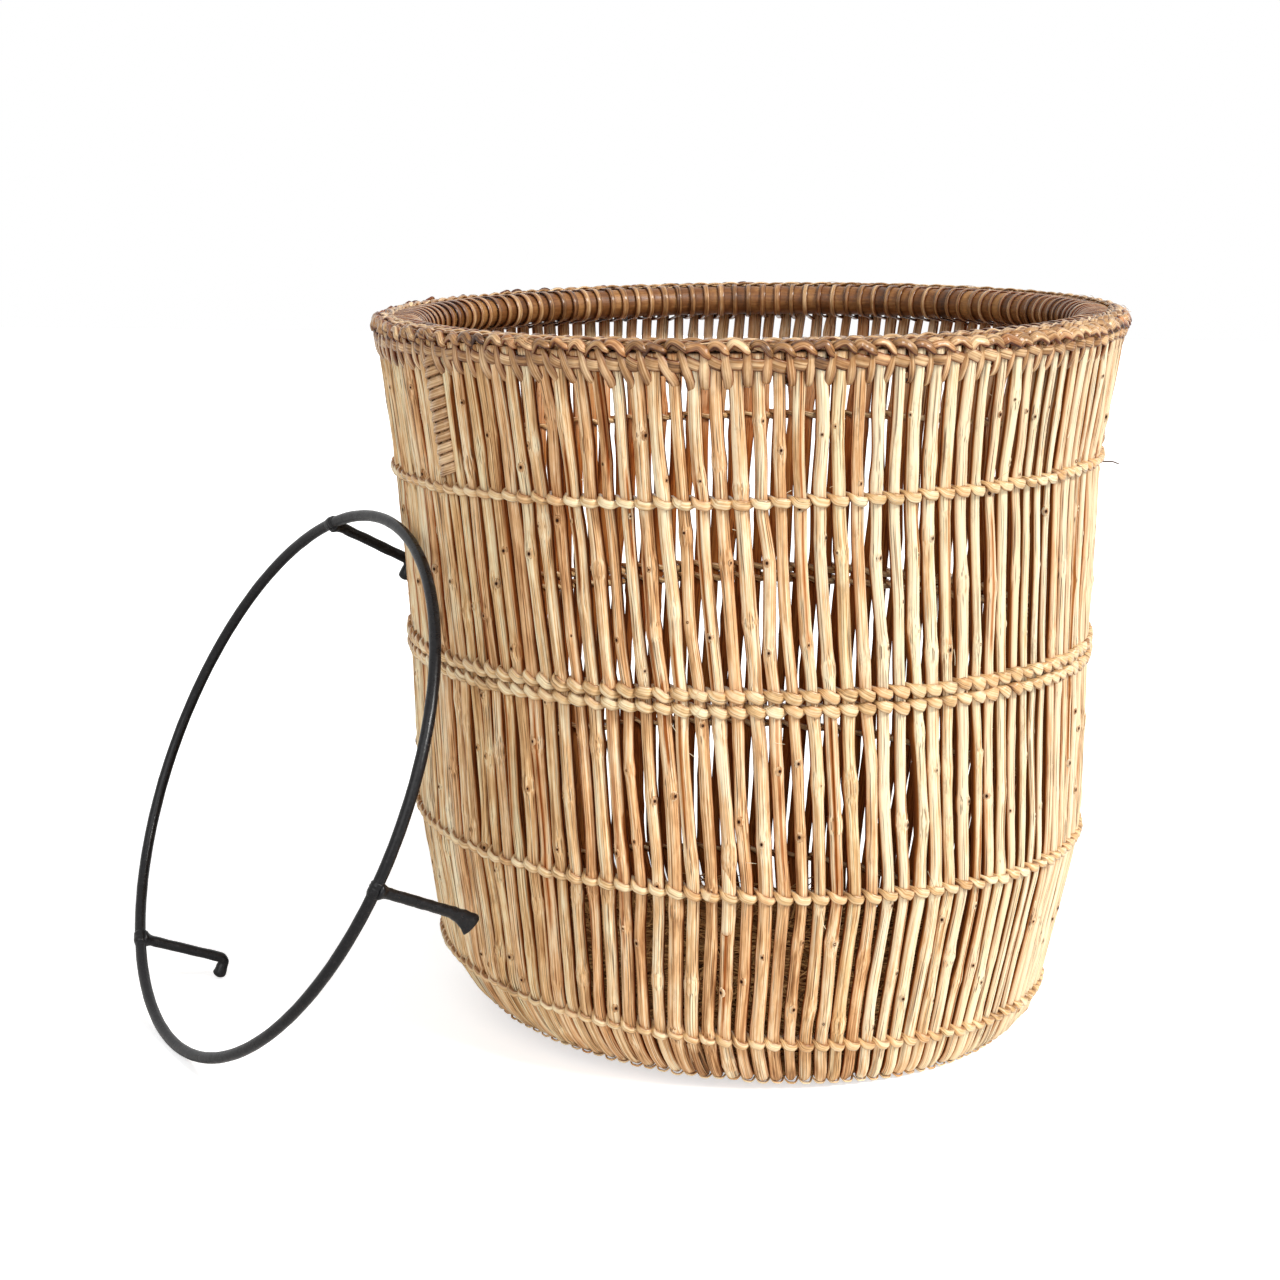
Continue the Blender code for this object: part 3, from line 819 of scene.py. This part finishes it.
def twine(piece, height, width, thickness, slant, tail, phase, light):
    """One strand of a twined row: in front of one stick, behind the next, one turn for each two."""
    s = np.arange(STICKS * ROW_STEPS) / ROW_STEPS
    angle = FIRST_STICK + s * STICK_STEP

    def uneven(size):
        return uneven_ring(len(s), size, STICKS)

    place = wall(height + uneven(0.0005), angle + turn_at(height))
    turn = math.pi * (s + phase)
    reach = STICK_RADIUS + thickness / 2 + uneven(0.0001)
    away = (np.cos(turn) - 0.12 * np.cos(3 * turn)) / 0.88 * reach
    step = (s + phase + 0.5) % 2.0
    front = step < 1
    left, right = 1 - step_up(step, 0.0, 0.34), step_up(step, 0.76, 1.0)
    behind = step_up(step, 1.0, 2.0)
    leftward = np.clip(-np.sin(angle), 0, 1)
    slant = slant * (1 + 1.1 * leftward)
    over = slant * np.cos(math.pi * step) + tail * left
    under = -slant + (2 * slant + tail) * behind
    rise = np.where(front, over, under) * (1 + uneven(0.25))
    path = moved(place, 0.0, rise, away - foot_tuck(height))
    path[:, 2] = np.maximum(path[:, 2], 0.0004 + width * 0.6)
    normal = place[3] + place[2] * per_point(np.where(front, 0.9 * left, 0.9 * behind))
    narrow = np.where(front, 1 - 0.48 * left - 0.30 * right, 0.70 - 0.18 * behind)
    wide = width * (1 - 0.20 * leftward) * (1 + uneven(0.09)) * narrow
    section = strap(12, wide, thickness * (1 + uneven(0.08))) * ribbed(12, 0.14)
    # Painted shade: the strand darker where it runs behind the sticks and at both ends of each turn where
    # it tucks under.
    light = light + uneven(0.09) - 0.18 * np.clip(-1.4 * np.cos(turn), 0, 1)
    light = light - (0.24 * left + 0.16 * right) * front
    tones = triple(light, 0.5 + uneven(0.15), 0.5 + uneven(0.2))
    piece.sweep(path, normal, section, tones, closed=True, mark=shaded_edges(12, 0.85))


def add_rows():
    """The outer and the inner strand of each row."""
    for name, height, width, slant, tail in ROWS:
        for side, phase in (("outer", 0), ("inner", 1)):
            piece = Piece(f"{name}_{side}_splint", ROW_CANE)
            twine(piece, height, width, ROW_THICKNESS, slant, tail, phase, ROW_TONE)
            piece.build(f"{name}_{side}_strand")


def add_edge_strand():
    """The thin pair of fibres round the foot."""
    piece = Piece("edge_fibre", ROW_CANE)
    for phase in (0, 1):
        twine(piece, EDGE_HEIGHT, 0.0018, 0.0013, 0.0002, 0.0002, phase, 0.70)
    piece.build("edge_strand")



# Rim

HOOP_RADIUS = 0.0108
HOOP_HEIGHT = 0.4797
HOOP_PATH_RADIUS = 0.2322
BRAID_RADIUS = 0.2500
BRAID_HEIGHT = 0.4890
BRAID_TILT = math.radians(-34)
BRAID_LAPS = 3
ARCH_RADIUS = 0.2546
ARCH_FOOT = 0.4818
ARCH_TOP = 0.4903
ARCH_HALF = 0.0079
COLLAR_HEIGHT = 0.4785
LOOP_POINTS = 44
LEAN_BEARINGS = (-3.1, -1.2, -0.6, -0.2, 0.0, 0.35, 0.80, 3.1)
LEAN_REACHES = (0.0015, 0.0024, 0.0054, 0.0050, 0.0006, -0.0006, -0.0034, -0.0015)
RIM_FIBRES = 90
FIBRE_HEIGHT = 0.4902


def rim_ring(radius, height, angle):
    """A ring on the rim's tilted level: its point, and its directions sideways, up and out."""
    sine, cosine = np.sin(angle), np.cos(angle)
    x, y = RIM_SHIFT + radius * sine, -radius * cosine
    side = unit(triple(cosine, sine, RIM_CLIMB * cosine + RIM_RISE * sine))
    out = unit(triple(sine, -cosine, RIM_CLIMB * sine - RIM_RISE * cosine))
    return triple(x, y, height + RIM_CLIMB * x + RIM_RISE * y), side, np.cross(out, side), out


def braid_place(angle):
    """The plait's own place: its directions run along it, out of its face and across it."""
    point, side, up, out = rim_ring(BRAID_RADIUS, BRAID_HEIGHT, angle)
    face = up * math.cos(BRAID_TILT) - out * math.sin(BRAID_TILT)
    return point, side, face, out * math.cos(BRAID_TILT) + up * math.sin(BRAID_TILT)


def add_braid():
    """The plaited border: one long splint that goes round three times and shows one leaf a stick."""
    piece = Piece("plaited_border", RIM_CANE)
    count = STICKS * 30
    s = np.arange(count) / count
    angle = s * BRAID_LAPS * math.tau
    place = braid_place(angle)
    turn = math.tau * s * STICKS + 0.12 * np.sin(math.tau * s * STICKS * 2)
    lateral = 0.0029 * np.sin(turn) + uneven_ring(count, 0.0005, 200)
    over = 0.0015 * np.sin(2 * turn) + uneven_ring(count, 0.0004, 300)
    tilt = per_point(0.75 * np.sin(turn))
    normal = place[2] * np.cos(tilt) + place[3] * np.sin(tilt)
    section = strap(12, 0.0047 * (1 + uneven_ring(count, 0.14, 300)), 0.0021, 0.8)
    # Painted light: the plait lighter towards the sides.
    light = 0.52 + 0.12 * np.sin(angle) ** 2 + uneven_ring(count, 0.16, 384)
    tones = triple(light, 0.5 + uneven_ring(count, 0.15, 90), 0.6)
    path = moved(place, 0.0, over, lateral)
    piece.sweep(path, normal, section, tones, closed=True, mark=shaded_edges(12, 0.9))
    count = STICKS * 10
    s = np.arange(count) / 10
    place = braid_place(s * STICK_STEP)
    for inset, phase in ((0.0050, 0), (0.0058, 0.5)):
        turn = math.tau * (s / 2 + phase)
        inward = inset + 0.0014 * np.sin(turn) + uneven_ring(count, 0.0003, 128)
        path = moved(place, 0.0, -0.0012 + 0.0010 * np.cos(turn), -inward)
        tones = triple(0.62 + uneven_ring(count, 0.10, 64), 0.5, 0.6)
        piece.sweep(path, place[2], splint(8, 0.0022, 0.0013), tones, closed=True)
    piece.build("rim_border")


def add_hoop():
    """The hoop inside the rim, sheathed in bark that overlaps once for each stick."""
    piece = Piece("bark_hoop", BARK)
    steps = 6
    s = np.arange(STICKS * steps) / steps
    point, _, up, _ = rim_ring(HOOP_PATH_RADIUS, HOOP_HEIGHT, s * STICK_STEP)
    sheath = HOOP_RADIUS - 0.0006 + (s % 1.0) * 0.0009
    section = circle(18, 2.0, 2.0) * sheath[:, None, None]
    drawn = CHANCE.normal(0, 0.11, STICKS)
    tones = triple(0.5 + drawn[s.astype(int)], 0.5, 0.5)
    piece.sweep(point, up, section, tones, closed=True)
    piece.build("rim_hoop")


def loop_outline(drop):
    """The path of one lashing, outward and up from the hoop's middle: in, over the top and out."""
    reach = HOOP_RADIUS + 0.0008
    inner = [(reach * math.cos(t), reach * math.sin(t)) for t in np.radians(np.arange(75, 271, 15))]
    low = [(0.0070, -0.0128), (0.0135, -0.0140 - drop), (0.0185, -0.0136 - drop)]
    outer = [(0.0212, -0.0100), (0.0222, -0.0045), (0.0218, 0.0015), (0.0205, 0.0058)]
    top = [(0.0165, 0.0085), (0.0100, 0.0108)]
    return smooth_closed(np.array(inner + low + outer + top), LOOP_POINTS)


def smooth_closed(points, count):
    """Even points on a soft closed curve through a list of points."""
    place = np.arange(count) / count * len(points)
    base = place.astype(int)
    f = per_point(place - base)
    before, here, after, beyond_it = (points[(base + k) % len(points)] for k in (-1, 0, 1, 2))
    square = 2 * before - 5 * here + 4 * after - beyond_it
    cube = 3 * here - before - 3 * after + beyond_it
    return 0.5 * (2 * here + (after - before) * f + square * f**2 + cube * f**3)


def loop_lean(angle):
    """How far the foot of a loop leans to the right: to the right on the left side, left on the right."""
    return float(np.interp(bearing_of(angle), LEAN_BEARINGS, LEAN_REACHES))


def add_lashing():
    """One loop between each two sticks: round the hoop and out over the stick tops."""
    piece = Piece("rim_lashing", LASH_CANE)
    for number in range(STICKS):
        angle = FIRST_STICK + (number + 0.5) * STICK_STEP + CHANCE.normal(0, 0.0012)
        place = rim_ring(HOOP_PATH_RADIUS, HOOP_HEIGHT, angle)
        outward, high = loop_outline(CHANCE.normal(0.0004, 0.0007)).T
        outside = np.clip((outward - 0.006) / 0.012, 0, 1)
        right = np.clip(math.sin(angle) * 1.8, 0, 1)
        lean = loop_lean(angle) + CHANCE.normal(0, 0.0012)
        slant = lean * np.clip(-high / 0.012, -1, 1) + CHANCE.normal(0, 0.0004)
        path = moved(place, outside * slant, high, outward - 0.0015 * right * outside)
        belly = outside * bell(high, -0.005, 0.006)
        width = CHANCE.uniform(0.0038, 0.0056) * (1 + 0.10 * outside + 0.32 * belly)
        section = strap(10, width * (1 - 0.16 * right), 0.0015 + 0.0012 * outside, 0.9)
        # Painted light: the loop lighter outside the hoop and brightest on its outer belly, darker where
        # it lies inside the trap.
        light = 0.42 + CHANCE.normal(0, 0.10) + 0.06 * outside + 0.14 * belly
        tones = triple(light, 0.5 + CHANCE.normal(0, 0.12), CHANCE.random())
        normal = path - moved(place, away=0.004)
        piece.sweep(path, normal, section, tones, closed=True, mark=shaded_edges(10, 1.5))
    piece.build()


def add_collars():
    """A band round each stick top, under the plait."""
    piece = Piece("stick_collars", RIM_CANE)
    cosine, sine = np.cos(turns(20)), np.sin(turns(20))
    radius = STICK_RADIUS + 0.0009
    for number in range(STICKS):
        angle = FIRST_STICK + number * STICK_STEP
        closed = closing(angle)
        right = np.clip(math.sin(angle) * 1.6, 0, 1)
        height = COLLAR_HEIGHT + 0.0011 * closed + CHANCE.normal(0, 0.0007)
        centre, side, up, out = stick_place(height, angle)
        tilt = CHANCE.normal(-0.20, 0.15)
        side = side * math.cos(tilt) + up * math.sin(tilt)
        path = moved((centre, side, up, out), cosine * radius * 1.08, 0.0, sine * radius)
        normal = side * per_point(cosine) + out * per_point(sine)
        # Painted light: collars lighter on the right.
        light = 0.52 + 0.20 * right + CHANCE.normal(0, 0.1)
        tone = (light, 0.5 + CHANCE.normal(0, 0.12), CHANCE.random())
        band = splint(10, CHANCE.uniform(0.0070, 0.0086) - 0.0008 * closed, 0.0020, 0.9)
        piece.sweep(path, normal, band, tone, closed=True, mark=shaded_edges(10, 1.5))
    piece.build()


def add_arches():
    """The plait's outer strands: each arches over a stick top, its right end over the next one."""
    piece = Piece("rim_arches", RIM_CANE)
    t = np.linspace(-1, 1, 17)
    left, tip = 1 - step_up(t, -1, -0.4), step_up(t, 0.82, 1.0)
    for number in range(STICKS):
        angle = FIRST_STICK + (number + 0.06) * STICK_STEP + CHANCE.normal(0, 0.0016)
        right = np.clip(math.sin(angle) * 1.6, 0, 1)
        half = ARCH_HALF * CHANCE.uniform(0.86, 1.18)
        tall = (ARCH_TOP - ARCH_FOOT) * CHANCE.uniform(0.82, 1.12) * (1 - 0.30 * right)
        crest = -0.12 + CHANCE.normal(0, 0.14)
        height = ARCH_FOOT + tall * (1 - (t - crest) ** 2 * np.where(t < crest, 1.3, 0.55))
        height = height + CHANCE.normal(0, 0.0004) + CHANCE.normal(0, 0.0004) * np.sin(t * 5)
        away = 0.0011 * step_up(t, 0.1, 0.7) - 0.0026 * left - 0.0030 * tip
        away = away + CHANCE.normal(0, 0.0003)
        place = rim_ring(ARCH_RADIUS, height, angle + t * half / ARCH_RADIUS)
        wide = (0.0053 + 0.0019 * right) * CHANCE.uniform(0.85, 1.2)
        wide = wide * (1 - 0.35 * left - 0.45 * tip)
        section = strap(12, wide, 0.0025 + 0.0008 * right, 0.9) * ribbed(12, 0.16)
        # Painted light: arches lighter on the right and towards the sides; painted shade at the tucked
        # left end and at the tip.
        beside = math.sin(angle) ** 2
        light = 0.47 + 0.04 * math.sin(angle) + 0.17 * beside + CHANCE.normal(0, 0.13)
        light = light - (0.30 - 0.16 * beside) * left - 0.10 * tip
        tones = triple(light, 0.5 + CHANCE.normal(0, 0.2), 0.8)
        normal = place[3] * 0.75 + place[2] * 0.66
        piece.sweep(moved(place, away=away), normal, section, tones, mark=shaded_edges(12, 1.3))
    piece.build()


def add_rim_fibres():
    """Loose fibres and cut ends that stand off the plait."""
    piece = Piece("rim_fibres", LASH_CANE)
    t = np.linspace(0, 1, 9)
    for _ in range(RIM_FIBRES):
        angle = CHANCE.uniform(0, math.tau)
        long = CHANCE.uniform(0.008, 0.026)
        radius = CHANCE.uniform(0.2475, 0.2565)
        lift = CHANCE.uniform(-0.0008, 0.0022) * np.sin(t * 2.4)
        place = rim_ring(radius, FIBRE_HEIGHT, angle + t * long / radius * CHANCE.choice([-1, 1]))
        path = moved(place, 0.0, lift, CHANCE.normal(0, 0.0022) * t**2)
        thick = CHANCE.uniform(0.0004, 0.0009)
        section = tapered(circle(5, thick, thick), 0.6, t)
        piece.sweep(path, place[2], section, (CHANCE.uniform(0.4, 0.9), 0.5, 0.2))
    piece.build()


# Seam and loose end

SEAM_STICK = 113
SEAM_TURNS = 11
SEAM_FOOT = 0.3985
SEAM_TOP = 0.4745
SEAM_WIDTH = 0.0063
LOOSE_END_ANGLE = math.radians(82)
LOOSE_END_HEIGHT = 0.3862
LOOSE_END_REACH = 0.0168


def add_seam():
    """The stick at the wall's seam is whipped with a cane strip from the rim to the first row."""
    piece = Piece("seam_whipping", LASH_CANE)
    t = np.arange(SEAM_TURNS * 20) / 20
    height = SEAM_FOOT + (SEAM_TOP - SEAM_FOOT) * t / SEAM_TURNS
    place = stick_place(height, FIRST_STICK + SEAM_STICK * STICK_STEP)
    cosine, sine = np.cos(-math.tau * t), np.sin(-math.tau * t)
    radius = STICK_RADIUS + 0.0014
    path = moved(place, cosine * radius * 1.25, 0.0011 * cosine, sine * radius)
    _, side, up, out = place
    normal = side * per_point(cosine) + out * per_point(sine) + up * 0.28
    drawn = CHANCE.normal(0, 1, (SEAM_TURNS + 1, 2))[t.astype(int)]
    section = strap(12, SEAM_WIDTH * (1 + 0.06 * drawn[:, 0]), 0.0028, 0.75)
    tones = triple(0.62 + 0.04 * drawn[:, 1], 0.5, 0.3)
    piece.sweep(path, normal, section, tones, mark=shaded_edges(12, 0.75))
    piece.build()


def add_loose_end():
    """The end of one strand of the first row, which stands off the wall and hooks down."""
    piece = Piece("loose_end", LASH_CANE)
    t = np.linspace(0, 1, 12)
    place = wall(LOOSE_END_HEIGHT, LOOSE_END_ANGLE)
    lift = 0.0018 * t - 0.0014 * step_up(t, 0.72, 1.0)
    section = tapered(circle(6, 0.0014, 0.0013), 0.3, t)
    path = moved(place, 0.0, lift, LOOSE_END_REACH * t)
    piece.sweep(path, place[2], section, (-0.3, 0.5, 0.5))
    piece.build()



# Base

COIL_PITCH = 0.0086
COIL_HEIGHT = 0.0084
COIL_TURNS = 21
COIL_LOWEST = COIL_HEIGHT / 2 + 0.0003
MAT_RADIUS = 0.1835
MAT_FLAT_RADIUS = 0.150
MAT_EDGE_WIDTH = 0.0413
MAT_EDGE_LIFT = 0.010
STALKS = 620
STALK_SPREAD = 0.182
STALK_LIMIT = 0.180
STALK_FLOOR = 0.0105
UPWARD = np.array([0.0, 0.0, 1.0])


def mat_place(radius, x):
    """How far the mat is shifted and lifted: outside its flat middle it follows the sticks."""
    share = np.clip((radius - MAT_FLAT_RADIUS) / MAT_EDGE_WIDTH, 0, 1)
    return FOOT_SHIFT * share, share * (MAT_EDGE_LIFT + FOOT_CLIMB * x)


def coil(piece, radius, angle, closed=False):
    """One length of the mat's grass coil, a little uneven."""
    x, y = radius * np.sin(angle), -radius * np.cos(angle)
    shift, climb = mat_place(radius, x)
    lift = np.maximum(COIL_LOWEST + 0.002 * (1 - radius / MAT_RADIUS) + climb, COIL_LOWEST)
    step = np.arange(len(x))
    thick = 1 + 0.05 * np.sin(step * 1.7) + 0.04 * np.sin(step * 0.61)
    section = circle(8, COIL_PITCH * 1.14, COIL_HEIGHT) * thick[:, None, None]
    section[:, 5:8, 1] = np.maximum(section[:, 5:8, 1], -COIL_HEIGHT * 0.5)
    tones = triple(0.62 + 0.1 * np.sin(step * 0.37), 0.5, 0.5)
    piece.sweep(triple(x + shift, y, lift), UPWARD, section, tones, closed=closed)


def add_base():
    """A coiled mat of grass, from its middle out to the feet of the sticks."""
    piece = Piece("coiled_mat", GRASS)
    share = np.sqrt(np.linspace(0.0006, 1, 2400))
    coil(piece, share * MAT_RADIUS, share * COIL_TURNS * math.tau)
    coil(piece, np.full(240, MAT_RADIUS + 0.0022), turns(240), closed=True)
    middle = np.linspace(-0.0055, 0.0055, 7)
    coil(piece, np.abs(middle), np.where(middle < 0, 0.3, 0.3 + math.pi))
    piece.build("base")


def add_grass():
    """Loose dry grass that lies on the base and against the foot of the wall."""
    piece = Piece("dry_grass", GRASS)
    t = np.linspace(-0.5, 0.5, 9)
    for _ in range(STALKS):
        ahead = CHANCE.uniform(0.05, 0.19) * t
        radius = STALK_SPREAD * math.sqrt(CHANCE.random())
        bearing = CHANCE.uniform(0, math.tau)
        heading = bearing + math.pi / 2 + CHANCE.normal(0, 0.7)
        bow = CHANCE.normal(0, 2.5) * ahead**2
        x = radius * math.sin(bearing) + ahead * math.cos(heading) - bow * math.sin(heading)
        y = -radius * math.cos(bearing) + ahead * math.sin(heading) + bow * math.cos(heading)
        far = np.hypot(x, y)
        floor = STALK_FLOOR + mat_place(far, x)[1]
        z = floor + CHANCE.uniform(0, 0.009) + ahead * CHANCE.normal(0, 0.05)
        z = np.maximum(z + 0.002 * np.sin(t * 9), floor)
        inward = np.minimum(1, STALK_LIMIT / far)
        thick = CHANCE.uniform(0.0008, 0.0020)
        tone = (CHANCE.normal(0.72, 0.30), 0.5, 0.5)
        path = triple(x * inward, y * inward, z)
        piece.sweep(path, UPWARD, circle(4, thick, thick * 0.6), tone)
    piece.build()


# Stand

ROD_RADIUS = 0.004
ROD_SIDES = 20
ROD_TRIM = 0.97
STAND_RADIUS = 0.1907
STAND_LEGS = 3
LEG_LENGTH = 0.067
LEG_LEAN = math.radians(3.6)
BEAD_REACH = 0.0052
FOOT_LENGTH = 0.0148
ELBOW = 0.0048
HOOF_LEG = 1
HOOF_LENGTH = 0.022
HOOF_REACH = 0.0085
HOOF_DROP = 0.0044
HOOF_FLARE = 2.0
STAND_HEADING = math.radians(32.3)
STAND_ROLL = math.radians(-52.3)
STAND_SIDE = 0.0838
STAND_AWAY = 0.3199
STAND_LEAN = math.radians(24.49)


def stand_frame():
    """The stand's middle, and its directions across, up the ring and along the legs."""
    ahead = np.array([math.cos(STAND_HEADING), math.sin(STAND_HEADING), 0.0])
    across = np.array([-ahead[1], ahead[0], 0.0])
    along = ahead * math.cos(STAND_LEAN) - np.array([0.0, 0.0, math.sin(STAND_LEAN)])
    up_ring = np.cross(along, across)
    centre = across * STAND_SIDE - ahead * STAND_AWAY
    centre[2] = ROD_RADIUS + STAND_RADIUS * up_ring[2]
    return centre, np.array([across, up_ring, along])


def hammered(count, size, lumps):
    """A forged rod's own unevenness, for each ring of points and each side."""
    shape = np.ones((count, ROD_SIDES))
    for _ in range(6):
        waves, sideways = CHANCE.integers(2, lumps), CHANCE.integers(0, 4)
        phase = waves * per_point(turns(count)) + sideways * turns(ROD_SIDES)
        shape += size / 2 * np.cos(phase + CHANCE.uniform(0, math.tau))
    return shape


def rod(piece, path, normal, radii, size, lumps, closed=False, flat=1.0):
    """A round rod along a path in the stand's frame, hammered a little out of true."""
    centre, axes = stand_frame()
    radii = np.broadcast_to(radii, len(path))[:, None] * hammered(len(path), size, lumps)
    section = circle(ROD_SIDES, 2, 2) * radii[..., None] * flat
    piece.sweep(centre + path @ axes, normal @ axes, section, closed=closed)


def ring_points(angle):
    return STAND_RADIUS * triple(np.cos(angle), np.sin(angle), 0.0)


def leg_angle(number):
    return STAND_ROLL - math.tau * number / STAND_LEGS


def add_ring():
    """The ring, with the lumpy weld bead of each leg on it."""
    piece = Piece("painted_ring", PAINT, "stand")
    rod(piece, ring_points(turns(420)), UPWARD, ROD_RADIUS * ROD_TRIM, 0.010, 90, closed=True)
    reach = np.linspace(-1, 1, 15)
    radii = ROD_RADIUS * (ROD_TRIM + 0.20 * (1 - reach**2) ** 0.6)
    for number in range(STAND_LEGS):
        bead = ring_points(leg_angle(number) + reach * BEAD_REACH / STAND_RADIUS)
        rod(piece, bead, UPWARD, radii, 0.045, 9)
    piece.build("stand_ring")


def bent_foot(end, along, down):
    """The path, radii and flatness of a foot: an elbow, then a short rod with a round end."""
    bend = per_point(np.linspace(0, math.pi / 2, 8)[1:])
    curve = along * np.sin(bend) - down * np.cos(bend)
    elbow = end - along * ELBOW + down * ELBOW + ELBOW * curve
    foot_radius = ROD_RADIUS * 1.22
    swell = np.linspace(0, 1, 5)[1:]
    straight = FOOT_LENGTH - ELBOW - foot_radius * 0.8
    foot = end + down * per_point(ELBOW + swell * straight)
    tip = np.linspace(0, math.pi / 2 - 0.12, 7)[1:]
    sole = foot[-1] + down * per_point(np.sin(tip) * foot_radius * 0.8)
    path = np.concatenate([elbow, foot, sole])
    narrow = np.full(len(elbow), ROD_RADIUS * ROD_TRIM)
    radii = [narrow, ROD_RADIUS * (ROD_TRIM + 0.25 * swell), foot_radius * np.cos(tip)]
    return path, np.concatenate(radii), np.ones((len(path), 2))


def hammered_foot(end, along, down):
    """The path, radii and flatness of a foot hammered into a hoof that flares downward."""
    t = np.concatenate([np.linspace(0.08, 1, 12), [1.03]])
    path = end + along * per_point(HOOF_LENGTH * (t - 1) + HOOF_REACH)
    path = path + down * per_point(HOOF_DROP * t**2.2)
    radii = np.full(len(t), ROD_RADIUS * 0.96)
    radii[-1] *= 0.86
    return path, radii, np.stack([1 + (HOOF_FLARE - 1) * t**1.8, 1 - 0.28 * t**1.5], -1)


def add_leg(number):
    """A leg from its weld to its bent foot; one foot is hammered flat."""
    outward = ring_points(leg_angle(number)) / STAND_RADIUS
    along = UPWARD * math.cos(LEG_LEAN) - outward * math.sin(LEG_LEAN)
    down = np.array([0.0, -1.0, 0.0])
    base = outward * STAND_RADIUS
    hoof = number == HOOF_LEG
    straight = LEG_LENGTH - (HOOF_LENGTH - HOOF_REACH if hoof else ELBOW)
    reach = np.concatenate([np.linspace(0.001, 0.012, 10), np.linspace(0.015, straight, 16)])
    weld = 0.62 * bell(reach, ROD_RADIUS * 0.6, 0.0032)
    radii = ROD_RADIUS * (0.94 + weld)
    shaft = base + along * per_point(reach), radii, np.ones((len(reach), 2))
    foot = (hammered_foot if hoof else bent_foot)(base + along * LEG_LENGTH, along, down)
    path, radii, flat = (np.concatenate(pair) for pair in zip(shaft, foot))
    piece = Piece(f"painted_leg_{number + 1}", PAINT, "stand")
    rod(piece, path, np.cross(along, down), radii, 0.03, 12, flat=flat[:, None])
    piece.build(f"stand_leg_{number + 1}")


# Stage, light and camera

FLOOR_SIZE = 12.0
CAMERA_PLACE = (0.0, -1.6604, 0.6027)
CAMERA_YAW = math.radians(-2.57)
CAMERA_PITCH = math.radians(11.73)
CAMERA_ROLL = math.radians(0.43)
CAMERA_LENS = 67.5
ROOM_LIGHT = 0.24
FLOOR_GLOW = 0.62


def add_floor():
    """A pale floor, which looks white to the camera where no shadow falls."""
    s = Shader("pale_floor")
    s.surface["Base Color"].default_value = (0.9, 0.9, 0.9, 1)
    s.surface["Roughness"].default_value = 0.6
    s.surface["Emission Color"].default_value = (1, 1, 1, 1)
    seen = s.node("ShaderNodeLightPath").outputs["Is Camera Ray"]
    s.set(s.surface["Emission Strength"], s.math("MULTIPLY", seen, FLOOR_GLOW))
    mesh = bpy.data.meshes.new("floor")
    half = FLOOR_SIZE / 2
    corners = [(-half, -half, 0), (half, -half, 0), (half, half, 0), (-half, half, 0)]
    mesh.from_pydata(corners, [], [(0, 1, 2, 3)])
    mesh.materials.append(s.material)
    floor = new_item("floor", mesh)


def add_world():
    """A white room for the camera and for reflections, and a softer light from all round."""
    world = bpy.data.worlds.new("room")
    world.use_nodes = True
    nodes = Nodes(world.node_tree)
    back = nodes.tree.nodes["Background"].inputs
    back["Color"].default_value = (1, 1, 1, 1)
    rays = nodes.node("ShaderNodeLightPath").outputs
    seen = rays["Is Camera Ray"]
    for kind in ("Is Glossy Ray", "Is Transmission Ray"):
        seen = nodes.math("MAXIMUM", seen, rays[kind])
    nodes.set(back["Strength"], nodes.fit(seen, 0.0, 1.0, ROOM_LIGHT, 1.0))
    bpy.context.scene.world = world


def add_sun(name, bearing, height, spread, strength, colour):
    """Even light from a bearing, counted from the front to the right, and a height, in degrees."""
    lamp = bpy.data.lights.new(name, "SUN")
    lamp.angle = math.radians(spread)
    lamp.energy = strength
    lamp.color = colour
    item = new_item(name, lamp)
    item.rotation_euler = (math.radians(90 - height), 0, math.radians(bearing))


def add_camera():
    """The photo's camera: turned to its heading, tilted down, and rolled a little."""
    lens = bpy.data.cameras.new("camera")
    lens.sensor_width = 36
    lens.lens = CAMERA_LENS
    item = new_item("camera", lens)
    heading = Matrix.Rotation(-CAMERA_YAW, 4, "Z")
    tilt = Matrix.Rotation(math.pi / 2 - CAMERA_PITCH, 4, "X")
    roll = Matrix.Rotation(CAMERA_ROLL, 4, "Z")
    item.matrix_world = Matrix.Translation(CAMERA_PLACE) @ heading @ tilt @ roll
    bpy.context.scene.camera = item


add_camera()
add_floor()
add_world()
add_sun("key", 56, 40, 18, 3.1, (1.0, 0.985, 0.955))
add_sun("fill", -12, 34, 50, 1.12, (0.98, 0.99, 1.0))
bpy.context.scene.view_settings.view_transform = "Standard"

add_sticks()
add_splice()
add_splinters()
add_rows()
add_edge_strand()
add_braid()
add_hoop()
add_lashing()
add_collars()
add_arches()
add_rim_fibres()
add_seam()
add_base()
add_grass()
add_ring()
for leg in range(STAND_LEGS):
    add_leg(leg)
add_loose_end()
